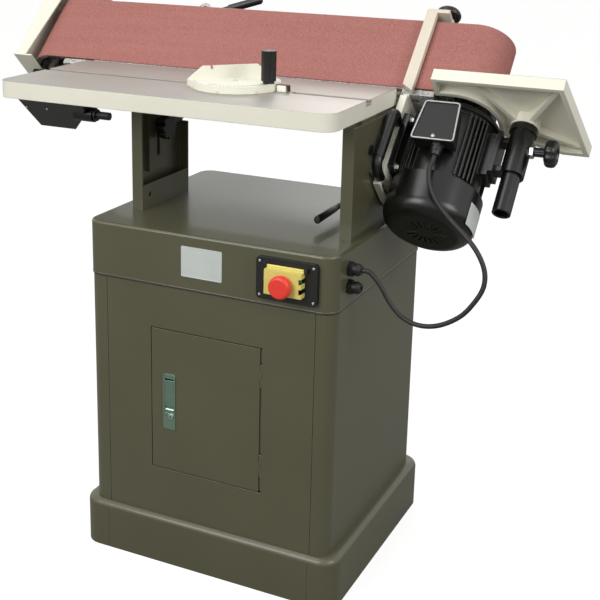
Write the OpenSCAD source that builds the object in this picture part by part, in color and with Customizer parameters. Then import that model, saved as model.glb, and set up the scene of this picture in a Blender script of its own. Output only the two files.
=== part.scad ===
// Edge sander on a sheet-steel cabinet: a 150 mm sanding belt runs round two drums on a head
// that tilts from upright to flat behind a cast table. Millimetres, +Z up, +Y towards the belt,
// origin on the floor under the middle of the plinth. The head stands tilted back by tilt_rest.

/* [Cabinet] */
// Width of the plinth
plinth_w = 510; // [490:1:560]
// Depth of the plinth
plinth_d = 450; // [440:1:500]
// Height of the plinth
plinth_h = 92; // [70:1:120]
// Radius of the plinth's upright corners
plinth_corner_r = 34; // [28:1:45]
// Radius of the plinth's rolled top edge
plinth_lip_r = 12; // [6:1:13]
// Width of the plinth's inner floor flange
floor_flange_w = 36; // [28:1:45]
// Distance of the floor bolts from the plinth's sides
floor_bolt_side = 23; // [20:0.5:26]
// Distance of the floor bolts from the plinth's front and back
floor_bolt_front = 23; // [20:0.5:26]
// Diameter of the floor bolt holes
floor_bolt_d = 11; // [8:0.5:14]
// Width of the top box
box_w = 474; // [464:1:474]
// Depth of the top box
box_d = 434; // [424:1:436]
// Height of the top box
box_h = 97; // [90:1:110]
// Radius of the top box's upright corners
box_corner_r = 27; // [20:1:34]
// Radius of the top box's upper edge
box_edge_r = 5; // [2:0.5:8]
// How far the cabinet stands back from the top box
cabinet_inset = 1.5; // [1:0.25:2]
// Height of the cabinet between the plinth and the top box
cabinet_h = 441; // [420:1:460]
// Thickness of the plinth and box sheet
sheet_t = 3; // [2.5:0.25:4]
// Thickness of the cabinet, front panel and door sheet
panel_t = 2; // [1.8:0.1:2.2]
// Left edge of the front panel
panel_x = -197; // [-200:1:-190]
// Width of the front panel
panel_w = 402; // [395:1:405]
// Seam between the front panel and the cabinet
panel_seam = 1; // [0.5:0.25:1.5]

/* [Door] */
// Left edge of the door opening
door_x = -107.5; // [-115:0.5:-100]
// Width of the door opening
door_w = 217.5; // [205:0.5:230]
// Height of the door opening's lower edge
door_z = 185; // [170:1:195]
// Height of the door opening
door_h = 268; // [250:1:280]
// Gap round the door
door_gap = 1.6; // [1.2:0.1:2.5]
// Gap at the hinge side, which holds the knuckles
hinge_gap = 4.4; // [4:0.1:5]
// Depth of the door's folded edges
door_fold = 14; // [8:1:20]
// Length of one hinge knuckle
knuckle_len = 14; // [10:1:18]
// Width of the latch plate
latch_w = 25; // [23:0.5:30]
// Height of the latch plate
latch_h = 105; // [98:1:112]
// Distance from the door's left edge to the latch
latch_x = 23; // [16:1:40]
// Height of the latch's middle above the door's lower edge
latch_z = 131; // [120:1:140]

/* [Switch] */
// Middle of the switch from left to right
switch_x = 155; // [140:0.5:158]
// Middle of the switch below the top of the box
switch_drop = 49; // [47:1:53]
// Width of the switch housing
switch_w = 109; // [104:1:116]
// Height of the switch housing
switch_h = 72; // [68:1:78]
// Thickness of the switch housing
switch_t = 8; // [6:0.5:12]
// Width of the yellow flap
flap_w = 66; // [60:1:68]
// Height of the yellow flap
flap_h = 42; // [40:1:58]
// Depth of the yellow flap
flap_t = 15; // [13:0.5:18]
// Diameter of the red stop button
stop_d = 38; // [34:0.5:40]

/* [Columns] */
// Front face of both columns
column_y = -122; // [-126:1:-118]
// Depth of both columns from front to back
column_d = 167; // [160:1:172]
// Width of the column flanges
column_flange = 21; // [18:1:24]
// Thickness of the column steel
column_t = 3; // [2.5:0.25:4]
// Outer face of the left column
left_web_x = -200; // [-210:1:-190]
// Outer face of the right column
right_web_x = 224; // [220:1:224]
// Gap between the column tops and the table
column_top_gap = 6; // [4:0.5:10]
// Height of the strip that closes each column's foot
foot_strip_h = 45; // [40:1:55]
// Thickness of the plates that carry the tilt shaft
bracket_t = 8; // [6:0.5:9]

/* [Table] */
// Length of the table
table_l = 650; // [640:1:663]
// Depth of the table
table_d = 288; // [280:1:288]
// Gap between the table's right end and the motor plate
table_end_gap = 8; // [6:0.5:12]
// Front edge of the table
table_y = -204; // [-210:1:-204]
// Height of the table top above the top box
table_rise = 227; // [220:1:235]
// Height of the table's outer rim
table_rim_h = 30; // [26:1:34]
// Thickness of the table's rim and ribs
table_rim_t = 9; // [7:0.5:12]
// Thickness of the table plate
table_plate_t = 10; // [8:0.5:11]
// Radius of the table's front corners
table_corner_r = 27; // [15:1:40]
// Middle of the T-slot from front to back
slot_y = -51; // [-56:1:-46]
// Width of the T-slot at the top
slot_w = 16; // [14:0.5:18]
// Depth of the T-slot's narrow neck
slot_neck = 4; // [3.5:0.25:5]
// Width of the T-slot's undercut
tee_w = 22; // [20:0.5:24]
// Height of the T-slot's undercut
tee_h = 5; // [4:0.25:6]
// Iron left under the T-slot
slot_floor = 6; // [5:0.5:8]
// Height that the table can be raised
table_travel = 50; // [40:1:55]
// Width of the table legs
leg_w = 62; // [50:1:66]
// Thickness of the table legs
leg_t = 8; // [6:0.5:9]
// Middle of the legs from front to back
leg_y = -49; // [-55:1:-45]
// Height of the clamp studs above the top box
clamp_rise = 142; // [138:1:148]
// Diameter of the clamp studs
clamp_d = 10; // [8:0.5:12]
// Diameter of the clamp knobs
clamp_knob_d = 46; // [40:1:50]
// Length of the mitre gauge's bar
bar_l = 200; // [190:1:220]
// Middle of the gauge from left to right
gauge_x = -28; // [-60:1:0]
// Radius of the gauge's round edge
gauge_r = 78; // [74:1:82]
// Thickness of the gauge's base
gauge_t = 12; // [10:0.5:14]
// Height of the gauge's fence above the table
fence_h = 34; // [30:1:40]
// Length of the gauge's fence at its foot
fence_l = 158; // [150:1:164]
// Turn of the gauge's fence from the table's length
gauge_turn = 46; // [40:1:50]
// Distance from the gauge's pivot to its handle
handle_reach = 62; // [60:0.5:64]
// Diameter of the gauge's handle
gauge_handle_d = 26; // [22:1:30]

/* [Head] */
// Tilt of the belt from upright, as it stands
tilt_rest = 45; // [40:1:50]
// Distance of the tilt axis behind the table
pivot_back = 30; // [28:1:34]
// Distance of the tilt axis under the table top
pivot_drop = 21; // [19:1:23]
// Diameter of the tilt shaft
tilt_shaft_d = 16; // [14:0.5:18]
// Width of the sanding belt
belt_w = 150; // [145:1:153]
// Thickness of the sanding belt
belt_t = 1.7; // [1.5:0.1:2]
// Distance of the belt's face in front of the tilt axis
belt_front = 21; // [20:0.5:22]
// Distance of the belt's lower edge above the tilt axis
belt_low = 8; // [7.5:0.5:10]
// Diameter of both drums
drum_d = 120; // [116:0.5:124]
// Place of the drive drum's axis
drive_x = 320; // [320:0.5:324]
// Distance between the two drums
drum_span = 857; // [849:1:863]
// Travel of the idler when the belt is slackened
idler_travel = 10; // [6:0.5:12]
// Thickness of the head's base
base_t = 12; // [11:0.5:12.5]
// Thickness of the platen
platen_t = 5; // [4:0.25:5]
// Left end of the platen
platen_x = -430; // [-436:1:-420]
// Length of the platen
platen_l = 670; // [650:1:676]
// Thickness of the hood's sheet
hood_t = 3; // [2.5:0.25:4]
// Width of the hood's lip in front of the belt
hood_lip = 33; // [30:1:40]
// Outer diameter of the dust port
dust_d = 100; // [95:1:104]
// Length of the dust port
dust_l = 45; // [35:1:55]
// Thickness of the stop arm
stop_t = 10; // [8:0.5:11]
// Width of the stop arm
stop_w = 20; // [18:0.5:22]
// Left side of the stop arm
stop_x = 226; // [224:0.5:228]

/* [Motor] */
// Left face of the motor plate
plate_x = 227; // [227:0.25:228]
// Thickness of the motor plate
plate_t = 12; // [11:0.25:12]
// Outer radius of the motor plate about the tilt axis
plate_r = 198; // [197:0.5:200]
// Radius of the tilt slot about the tilt axis
tilt_slot_r = 181; // [180:0.5:182]
// Diameter of the tilt lock stud
lock_d = 12; // [10:0.5:13]
// Outer diameter of the motor over its fins
motor_d = 154; // [150:1:156]
// Height of the motor's cooling fins
fin_h = 9; // [7:0.5:10]
// Length of the finned motor body
motor_l = 135; // [130:1:138]
// Gap between the tilt axis and the motor's top
motor_drop = 14; // [13:0.5:16]
// Thickness of the motor's end bell
bell_t = 16; // [14:0.5:18]
// Diameter of the fan cover
fan_cover_d = 160; // [156:0.5:160]
// Length of the fan cover
fan_cover_l = 77; // [70:1:80]
// Diameter of the motor shaft
shaft_d = 24; // [22:0.5:26]
// Distance between the ends of the tilt handle
tilt_handle_l = 114; // [110:1:120]
// Diameter of the tilt handle's grip
tilt_handle_d = 20; // [17:0.5:21]

/* [End table] */
// Distance of the post from the motor axis
post_reach = 117; // [115:0.5:122]
// Diameter of the post
post_d = 32; // [30:0.5:34]
// Outer diameter of the post's tube
post_tube_d = 42; // [41:0.5:44]
// Length of the post's tube
post_tube_l = 98; // [90:1:104]
// Length of the post below its tube
post_tail = 74; // [66:1:78]
// Height of the end table's top above the tilt axis
end_table_z = 14; // [13:0.5:16]
// Height of the end table's rim
end_rim_h = 23; // [22:0.5:25]
// Thickness of the end table's rim and ribs
end_rim_t = 8; // [6:0.5:9]
// Gap between the end table and the belt
end_gap = 8; // [6:0.25:9]
// Height that the end table can be raised
end_travel = 60; // [50:1:65]

/* [Fits] */
// Gap between pieces that move past each other
run_gap = 0.3; // [0.25:0.05:0.4]
// Radial clearance of shafts in their bores
fit_gap = 0.05; // [0.03:0.01:0.08]

/* [Hidden] */
$fn = 64;
eps = 0.01;

floor_bolt_x = plinth_w - 2 * floor_bolt_side;
floor_bolt_y = plinth_d - 2 * floor_bolt_front;
box_z = plinth_h + cabinet_h;
box_top = box_z + box_h;
cabinet_w = box_w - 2 * cabinet_inset;
cabinet_d = box_d - 2 * cabinet_inset;
cabinet_r = box_corner_r - cabinet_inset;
cabinet_front = -cabinet_d / 2;
box_front = -box_d / 2;
box_side = box_w / 2;
switch_z = box_top - switch_drop;
flap_hinge_r = 2;
flap_top = switch_z + flap_h / 2 + flap_hinge_r + 1;
flap_back = box_front - switch_t - run_gap;
stop_button_z = switch_z - 3;
start_button_x = switch_x + 20;
start_button_z = switch_z + 2;
start_button_r = 8;
gland_y = -158;
gland_high = box_top - 33;
gland_pitch = 31;
gland_len = 22;
gland_bore_r = 8;

door_axis_x = door_x + door_w - hinge_gap / 2;
door_axis_y = cabinet_front + panel_t / 2;
knuckle_r = panel_t;
hinge_pin_r = knuckle_r / 2;
door_left = door_x + door_gap;
door_right = door_x + door_w - hinge_gap;
latch_mid_x = door_left + latch_x + latch_w / 2;
latch_mid_z = door_z + door_gap + latch_z;
paddle_w = latch_w - 8;
paddle_h = 62;
paddle_t = 5;
paddle_top = latch_mid_z + latch_h / 2 - 12;
paddle_pin_r = 1.5;

table_back = table_y + table_d;
table_right = plate_x - table_end_gap;
table_x = table_right - table_l;
table_z = box_top + table_rise;
table_low = table_z - table_rim_h;
slot_depth = slot_neck + tee_h + slot_floor;
column_top = table_low - column_top_gap;
column_back = column_y + column_d;
clamp_z = box_top + clamp_rise;
leg_low = clamp_z - table_travel - 30;
leg_top = table_low;
leg_flange_l = 42;
left_leg_x = left_web_x + column_t + run_gap;
right_leg_x = right_web_x - column_t - run_gap - leg_t;
bracket_top = column_top - 4;
bracket_low = bracket_top - 50;

pivot_y = table_back + pivot_back;
pivot_z = table_z - pivot_drop;
bracket_eye_r = tilt_shaft_d / 2 + 7;
barrel_r = tilt_shaft_d / 2 + 5;
left_bracket_x = left_web_x + column_t;
right_bracket_x = right_web_x - column_t - bracket_t;

drum_r = drum_d / 2;
belt_in_r = drum_r + run_gap;
belt_out_r = belt_in_r + belt_t;
drum_y = belt_out_r - belt_front;
idler_x = drive_x - drum_span;
belt_high = belt_low + belt_w;
drum_low = belt_low + 2;
drum_len = belt_w - 4;
base_low = -base_t / 2;
base_high = base_t / 2;
base_x = -500;
base_end = drive_x - 38;
base_back = drum_y + belt_out_r + 9;
platen_front = run_gap + belt_t - belt_front;
platen_back = platen_front + platen_t;
wall_t = 10;
wall_high = belt_high - 8;
hood_x = idler_x - belt_out_r - 14;
hood_front = -belt_front - 6 - hood_t;
hood_top = belt_high + 10;
hood_back = base_back + hood_t;
dust_x = idler_x - 8;
dust_z = belt_low + belt_w / 2;

tilt_handle_x = plate_x + plate_t / 2 + 4;
plate_low = sqrt(plate_r * plate_r - belt_front * belt_front) - 2;
lock_y = pivot_y;
lock_z = pivot_z - tilt_slot_r;
lock_head_r = lock_d / 2 + 3.5;
lock_slot_depth = 7;
lock_lever_x = 150;
lock_lever_l = 196;

motor_r = motor_d / 2;
core_r = motor_r - fin_h;
bell_top = -motor_drop;
body_top = bell_top - bell_t;
body_low = body_top - motor_l;
fan_cover_low = body_low - fan_cover_l;
fan_cover_r = fan_cover_d / 2;
shaft_r = shaft_d / 2;
term_w = 62;
term_low_w = 76;
term_h = 78;
term_top = body_top - 14;
term_mid_x = drive_x - 1;
term_front = -58;
term_gland_x = term_mid_x + 8;
term_gland_y = term_front + 10;
term_gland_l = 24;

post_x = drive_x + post_reach;
post_tube_top = -motor_drop;
post_tube_low = post_tube_top - post_tube_l;
post_low = post_tube_low - post_tail;
post_knob_z = post_tube_top - 44;
end_low = end_table_z - end_rim_h;
end_plate_t = 8;

// Motor lead from the box's gland to the terminal box, as it hangs in front of the fan cover
cable_r = 4;
cable_sides = 10;
cable_steps = 2;
cable_hang = [
    [274, -158, 595], [290, -157, 578], [308, -156, 550], [328, -156, 530], [352, -157, 521],
    [378, -158, 522], [404, -159, 532], [430, -159, 551], [449, -157, 577], [459, -153, 600],
    [458, -149, 624], [446, -145, 648], [424, -134, 668], [384, -108, 690], [354, -84, 709],
    [335, -63, 729], [327, -45, 749]
];

olive = "#57553F";
cream = "#ECEAD8";
iron = "#A8A49C";
black = "#1E1E1E";
zinc = "#B9BBBC";
steel = "#8E9194";
abrasive = "#B46A60";

// Places a piece of the head, modelled upright about the tilt axis, at its tilt
module tilted() {
    translate([0, pivot_y, pivot_z]) rotate([-tilt_rest, 0, 0]) children();
}

// A point of the upright head, as [x, y, z] about the tilt axis, at its tilt
function tilted_point(p) = [
    p.x,
    pivot_y + p.y * cos(tilt_rest) + p.z * sin(tilt_rest),
    pivot_z - p.y * sin(tilt_rest) + p.z * cos(tilt_rest)
];

// Extrudes an outline drawn in Y and Z along X
module along_x(x, len) {
    translate([x, 0, 0]) rotate([90, 0, 90]) linear_extrude(len) children();
}

// Extrudes an outline drawn in X and Z along Y
module along_y(y, len) {
    translate([0, y + len, 0]) rotate([90, 0, 0]) linear_extrude(len) children();
}

// Round bar along X
module rod_x(x, len, r) {
    translate([x, 0, 0]) rotate([0, 90, 0]) cylinder(h = len, r = r);
}

// Round bar along X with a chamfered far end
module grip_x(x, len, r) {
    nose = r * 0.5;
    rod_x(x, len - nose, r);
    translate([x + len - nose, 0, 0]) rotate([0, 90, 0]) cylinder(h = nose, r1 = r, r2 = r - nose);
}

// Round bar along Y
module rod_y(y, len, r) {
    translate([0, y, 0]) rotate([-90, 0, 0]) cylinder(h = len, r = r);
}

module box_between(a, b) {
    translate(a) cube(b - a);
}

module rounded_rect(w, d, r) {
    square([w - 2 * r, d], center = true);
    square([w, d - 2 * r], center = true);
    for (x = [-1, 1], y = [-1, 1])
        translate([x * (w / 2 - r), y * (d / 2 - r)]) circle(r);
}

// Upright outline, width across and height up, with both upper corners rounded
module rolled_profile(width, h, edge) {
    translate([-width / 2, 0]) square([width, h - edge]);
    translate([-width / 2 + edge, 0]) square([width - 2 * edge, h]);
    for (s = [-1, 1]) translate([s * (width / 2 - edge), h - edge]) circle(edge);
}

// Block with rounded upright corners and a rolled upper edge
module rolled_block(w, d, h, r, edge) {
    along_x(-w / 2 + r, w - 2 * r) rolled_profile(d, h, edge);
    along_y(-d / 2 + r, d - 2 * r) rolled_profile(w, h, edge);
    for (x = [-1, 1], y = [-1, 1])
        translate([x * (w / 2 - r), y * (d / 2 - r), 0])
            rotate_extrude()
                intersection() {
                    rolled_profile(2 * r, h, edge);
                    square([r, h]);
                }
}

// Knob with round lobes, on the Z axis from zero up
module lobed_knob(d, h, lobes) {
    lobe_r = d * 0.13;
    cylinder(h = h, r = d / 2 - lobe_r);
    for (i = [0 : lobes - 1])
        rotate([0, 0, i * 360 / lobes]) translate([d / 2 - lobe_r, 0, 0]) cylinder(h = h, r = lobe_r);
}

// Arc-shaped slot about the Z axis, with round ends
module arc_slot(r, width, from_deg, to_deg, depth) {
    rotate([0, 0, from_deg])
        rotate_extrude(angle = to_deg - from_deg)
            translate([r - width / 2, 0]) square([width, depth]);
    for (a = [from_deg, to_deg])
        rotate([0, 0, a]) translate([r, 0, 0]) cylinder(h = depth, r = width / 2);
}

module floor_bolt_holes() {
    for (x = [-1, 1], y = [-1, 1])
        translate([x * floor_bolt_x / 2, y * floor_bolt_y / 2, -1])
            cylinder(h = sheet_t + 3, d = floor_bolt_d);
}

module plinth() color(olive) {
    inner_w = plinth_w - 2 * sheet_t;
    inner_d = plinth_d - 2 * sheet_t;
    groove = 0.8;
    difference() {
        rolled_block(plinth_w, plinth_d, plinth_h, plinth_corner_r, plinth_lip_r);
        translate([0, 0, sheet_t + 1])
            linear_extrude(plinth_h - plinth_lip_r - sheet_t - 1)
                rounded_rect(inner_w, inner_d, plinth_corner_r - sheet_t);
        translate([0, 0, sheet_t + 1])
            linear_extrude(plinth_h - 2 * sheet_t - 1)
                rounded_rect(inner_w - 2 * plinth_lip_r, inner_d - 2 * plinth_lip_r,
                             plinth_corner_r - sheet_t - plinth_lip_r);
        translate([0, 0, -1])
            linear_extrude(sheet_t + 3)
                rounded_rect(plinth_w - 2 * floor_flange_w, plinth_d - 2 * floor_flange_w, plinth_corner_r / 2);
        floor_bolt_holes();
        for (x = [panel_x, panel_x + panel_w])
            translate([x - groove / 2, -plinth_d / 2 - 1, -1])
                cube([groove, groove + 1, plinth_h - plinth_lip_r]);
    }
}

module cabinet_shell() color(olive) {
    strip_w = 30;
    translate([0, 0, plinth_h]) {
        difference() {
            linear_extrude(cabinet_h) rounded_rect(cabinet_w, cabinet_d, cabinet_r);
            translate([0, 0, -1])
                linear_extrude(cabinet_h + 2)
                    rounded_rect(cabinet_w - 2 * panel_t, cabinet_d - 2 * panel_t, cabinet_r - panel_t);
            translate([panel_x, cabinet_front - 1, -1]) cube([panel_w, panel_t + 2, cabinet_h + 2]);
        }
        for (x = [panel_x, panel_x + panel_w])
            translate([x - strip_w / 2, cabinet_front + panel_t, 0]) cube([strip_w, panel_t, cabinet_h]);
    }
}

// Knuckles of one leaf: which = 0 for the panel's two outer ones, 1 for the door's middle one
module knuckles(which) {
    for (z = [door_z + 30, door_z + door_h - 30 - 3 * knuckle_len]) {
        for (i = which == 0 ? [0, 2] : [1])
            translate([door_axis_x, door_axis_y, z + i * knuckle_len + run_gap / 2]) {
                cylinder(h = knuckle_len - run_gap, r = knuckle_r);
                translate([which == 0 ? 0 : -hinge_gap / 2, -panel_t / 2, 0])
                    cube([hinge_gap / 2, panel_t, knuckle_len - run_gap]);
            }
    }
}

module hinge_bores(r) {
    for (z = [door_z + 30, door_z + door_h - 30 - 3 * knuckle_len])
        translate([door_axis_x, door_axis_y, z - 1]) cylinder(h = 3 * knuckle_len + 2, r = r);
}

module front_panel() color(olive) {
    difference() {
        union() {
            difference() {
                translate([panel_x + panel_seam, cabinet_front, plinth_h])
                    cube([panel_w - 2 * panel_seam, panel_t, cabinet_h]);
                translate([door_x, cabinet_front - 1, door_z]) cube([door_w, panel_t + 2, door_h]);
            }
            knuckles(0);
        }
        hinge_bores(hinge_pin_r);
    }
}

module door_hinge_pins() color(zinc) {
    for (z = [door_z + 30, door_z + door_h - 30 - 3 * knuckle_len])
        translate([door_axis_x, door_axis_y, z]) cylinder(h = 3 * knuckle_len, r = hinge_pin_r);
}

module door() color(olive) {
    fold_inset = 3;
    low = door_z + door_gap;
    high = door_z + door_h - door_gap;
    difference() {
        union() {
            box_between([door_left, cabinet_front, low], [door_right, cabinet_front + panel_t, high]);
            difference() {
                box_between([door_left + fold_inset, cabinet_front + panel_t - eps, low + fold_inset],
                            [door_right - fold_inset, cabinet_front + door_fold, high - fold_inset]);
                box_between([door_left + fold_inset + panel_t, cabinet_front, low + fold_inset + panel_t],
                            [door_right - fold_inset - panel_t, cabinet_front + door_fold + 1,
                             high - fold_inset - panel_t]);
            }
            knuckles(1);
        }
        hinge_bores(hinge_pin_r + fit_gap);
        translate([latch_mid_x - latch_w / 2 + 2, cabinet_front - 1, latch_mid_z - latch_h / 2 + 3])
            cube([latch_w - 4, panel_t + 2, latch_h - 6]);
    }
}

module latch_housing() color(zinc) {
    plate_t = 1.5;
    depth = 16;
    wall = 1.5;
    difference() {
        union() {
            translate([latch_mid_x, 0, latch_mid_z])
                along_y(cabinet_front - plate_t, plate_t) rounded_rect(latch_w, latch_h, 4);
            translate([latch_mid_x - latch_w / 2 + 2, cabinet_front - eps, latch_mid_z - latch_h / 2 + 3])
                cube([latch_w - 4, depth, latch_h - 6]);
        }
        translate([latch_mid_x - paddle_w / 2 - run_gap, cabinet_front - plate_t - 1,
                   paddle_top - paddle_h - run_gap])
            cube([paddle_w + 2 * run_gap, depth - wall, paddle_h + 2 * run_gap + 3]);
        translate([latch_mid_x, cabinet_front + 2, paddle_top - 2])
            rod_x(-paddle_w / 2 - 2, paddle_w + 4, paddle_pin_r + fit_gap);
    }
}

module latch_paddle() color(zinc) {
    translate([latch_mid_x, 0, 0]) {
        difference() {
            translate([-paddle_w / 2, cabinet_front - 1.2, paddle_top - paddle_h])
                cube([paddle_w, paddle_t, paddle_h]);
            translate([0, cabinet_front - 3.6, paddle_top - paddle_h + 9]) rotate([0, 90, 0])
                cylinder(h = paddle_w + 2, r = 4, center = true);
        }
        translate([0, cabinet_front + 2, paddle_top - 2]) rod_x(-paddle_w / 2 - 1.8, paddle_w + 3.6, paddle_pin_r);
    }
}

module top_box() color(olive) {
    translate([0, 0, box_z])
        difference() {
            rolled_block(box_w, box_d, box_h, box_corner_r, box_edge_r);
            translate([0, 0, -1])
                linear_extrude(box_h - sheet_t + 1)
                    rounded_rect(box_w - 2 * sheet_t, box_d - 2 * sheet_t, box_corner_r - sheet_t);
            for (i = [0, 1])
                translate([0, gland_y, gland_high - box_z - i * gland_pitch])
                    rod_x(box_side - sheet_t - 1, sheet_t + 2, gland_bore_r);
        }
}

module switch_housing() color(black) {
    lug = 6;
    difference() {
        union() {
            translate([switch_x, 0, switch_z])
                along_y(box_front - switch_t, switch_t) rounded_rect(switch_w, switch_h, 7);
            for (s = [-1, 1])
                translate([switch_x + s * (flap_w / 2 + run_gap + lug / 2) - lug / 2,
                           flap_back - 2 * flap_hinge_r - 2, flap_top - flap_hinge_r - 2])
                    cube([lug, 2 * flap_hinge_r + 2 + run_gap + eps, 2 * flap_hinge_r + 4]);
        }
        translate([switch_x, flap_back - flap_hinge_r - 0.5, flap_top])
            rod_x(-flap_w / 2 - lug, flap_w + 2 * lug, flap_hinge_r + fit_gap);
        translate([start_button_x, 0, start_button_z]) rod_y(box_front - switch_t - 1, 5, start_button_r + fit_gap);
    }
}

module start_button() color("#2F8A3C") {
    translate([start_button_x, 0, start_button_z]) rod_y(flap_back - 4, 6, start_button_r);
}

module switch_flap() color("#F2C71B") {
    wall = 2;
    low = switch_z - flap_h / 2;
    high = switch_z + flap_h / 2;
    difference() {
        union() {
            difference() {
                box_between([switch_x - flap_w / 2, flap_back - flap_t, low], [switch_x + flap_w / 2, flap_back, high]);
                box_between([switch_x - flap_w / 2 + wall, flap_back - flap_t + wall, low + wall],
                            [switch_x + flap_w / 2 - wall, flap_back + 1, high - wall]);
                for (z = [low + 7, low + 24])
                    translate([switch_x + flap_w / 2 - 5, flap_back - flap_t - 1, z])
                        cube([6, flap_t + 2, 9]);
            }
            box_between([switch_x - flap_w / 2, flap_back - 2 * flap_hinge_r - 0.5, high - eps],
                        [switch_x + flap_w / 2, flap_back - 0.5, flap_top]);
            translate([switch_x, flap_back - flap_hinge_r - 0.5, flap_top]) {
                rod_x(-flap_w / 2, flap_w, flap_hinge_r);
                rod_x(-flap_w / 2 - 5, flap_w + 10, flap_hinge_r);
            }
        }
        translate([switch_x, 0, stop_button_z]) rod_y(flap_back - flap_t - 1, wall + 2, 7 + fit_gap);
    }
}

module stop_button() color("#C8261E") {
    head = 12;
    stem = 7;
    translate([switch_x, flap_back - flap_t - 5, stop_button_z]) rotate([90, 0, 0])
        rotate_extrude()
            difference() {
                union() {
                    square([stop_d / 2 - 5, head]);
                    square([stop_d / 2, head - 5]);
                    translate([stop_d / 2 - 5, head - 5]) circle(5);
                }
                translate([-stop_d, -1]) square([stop_d, head + 2]);
            }
    translate([switch_x, 0, stop_button_z]) rod_y(flap_back - flap_t - 5 - eps, 14, stem);
}

// Cable gland on the right side of the top box, at height z
module box_gland(z, hole_r) {
    translate([box_side, gland_y, z])
        difference() {
            union() {
                rotate([0, 90, 0]) cylinder(h = 8, r = 13, $fn = 6);
                rod_x(8 - eps, 8, 10);
                rotate([0, 90, 0]) translate([0, 0, 15]) cylinder(h = gland_len - 15, r1 = 11, r2 = 8);
                rod_x(-sheet_t, sheet_t + 1, gland_bore_r);
            }
            rod_x(gland_len - 12, 13, hole_r);
        }
}

module motor_lead_gland() color(black) box_gland(gland_high, cable_r + fit_gap);

module mains_gland() color(black) box_gland(gland_high - gland_pitch, cable_r + fit_gap);

// Folded channel with its web at web_x and its flanges towards the other column
module column(web_x, side) {
    inner = web_x + side * column_flange;
    x0 = min(web_x, inner);
    x1 = max(web_x, inner);
    web_in = web_x + side * column_t;
    strip_out = inner - side * column_t;
    difference() {
        union() {
            box_between([min(web_x, web_in), column_y, box_top], [max(web_x, web_in), column_back, column_top]);
            for (y = [column_y, column_back - column_t])
                box_between([x0, y, box_top], [x1, y + column_t, column_top]);
            box_between([min(inner, strip_out), column_y + column_t - eps, box_top],
                        [max(inner, strip_out), column_back - column_t + eps, box_top + foot_strip_h]);
        }
        translate([0, leg_y, clamp_z]) rod_x(x0 - 1, x1 - x0 + 2, clamp_d / 2 + fit_gap);
        box_between([min(web_in, inner + side), column_back - column_t - 1, bracket_low - 1],
                    [max(web_in, inner + side), column_back + 1, column_top + 1]);
        translate([0, column_y + 26, box_top + foot_strip_h / 2 + 2]) rod_x(min(inner, strip_out) - 1, column_t + 2, 4.5);
    }
}

module left_column() color(olive) column(left_web_x, 1);

module right_column() color(olive) column(right_web_x, -1);

// Plate on a column's web, reaching back to an eye round the tilt shaft
module pivot_bracket(x) {
    front = leg_y + leg_w / 2 + 10;
    back = table_back + 3;
    difference() {
        along_x(x, bracket_t) {
            polygon([
                [front, bracket_low], [column_back - column_t - 4, bracket_low],
                [pivot_y + bracket_eye_r * 0.8, pivot_z - bracket_eye_r * 0.6],
                [pivot_y - bracket_eye_r * 0.6, pivot_z + bracket_eye_r * 0.8], [back, bracket_top], [front, bracket_top]
            ]);
            translate([pivot_y, pivot_z]) circle(bracket_eye_r);
        }
        translate([0, pivot_y, pivot_z]) rod_x(x - 1, bracket_t + 2, tilt_shaft_d / 2);
    }
}

module left_pivot_bracket() color(olive) pivot_bracket(left_bracket_x);

module right_pivot_bracket() color(olive) pivot_bracket(right_bracket_x);

module tilt_shaft() color(steel) {
    translate([0, pivot_y, pivot_z])
        rod_x(left_bracket_x - 3, right_bracket_x + bracket_t - left_bracket_x + 6, tilt_shaft_d / 2);
}

module lock_bracket() color(olive) {
    front = column_back + 2;
    boss_r = lock_d / 2 + 8;
    difference() {
        union() {
            along_x(right_web_x - bracket_t, bracket_t) {
                translate([front, box_top]) square([lock_y - front, 2 * (lock_z - box_top)]);
                translate([lock_y, box_top]) square([boss_r, lock_z - box_top]);
                translate([lock_y, lock_z]) circle(boss_r);
            }
            box_between([right_web_x - 34, front, box_top], [right_web_x, lock_y + boss_r, box_top + 5]);
            translate([0, lock_y, lock_z]) rod_x(right_web_x - eps, plate_x - run_gap - right_web_x + eps, boss_r);
        }
        translate([0, lock_y, lock_z]) rod_x(right_web_x - bracket_t - 1, bracket_t + 10, lock_d / 2 + fit_gap);
    }
}

module tilt_lock_stud() color(zinc) {
    translate([0, lock_y, lock_z]) {
        rod_x(lock_lever_x, plate_x + plate_t - lock_slot_depth + 1 - lock_lever_x, lock_d / 2);
        rod_x(plate_x + plate_t - lock_slot_depth + run_gap, lock_slot_depth - 2 * run_gap, lock_head_r);
    }
}

module tilt_lock_lever() color(black) {
    hub_r = lock_d / 2 + 6;
    bar_r = 5.5;
    translate([lock_lever_x, lock_y, lock_z])
        difference() {
            union() {
                rod_x(-10, 22, hub_r);
                rotate([0, 2, -91.2]) grip_x(0, lock_lever_l, bar_r);
            }
            rod_x(0, 30, lock_d / 2);
        }
}

module table_outline() {
    translate([table_x + table_l / 2, table_y + table_d / 2]) {
        rounded_rect(table_l, table_d, table_corner_r);
        translate([-table_l / 2, 0]) square([table_l, table_d / 2]);
    }
}

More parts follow.
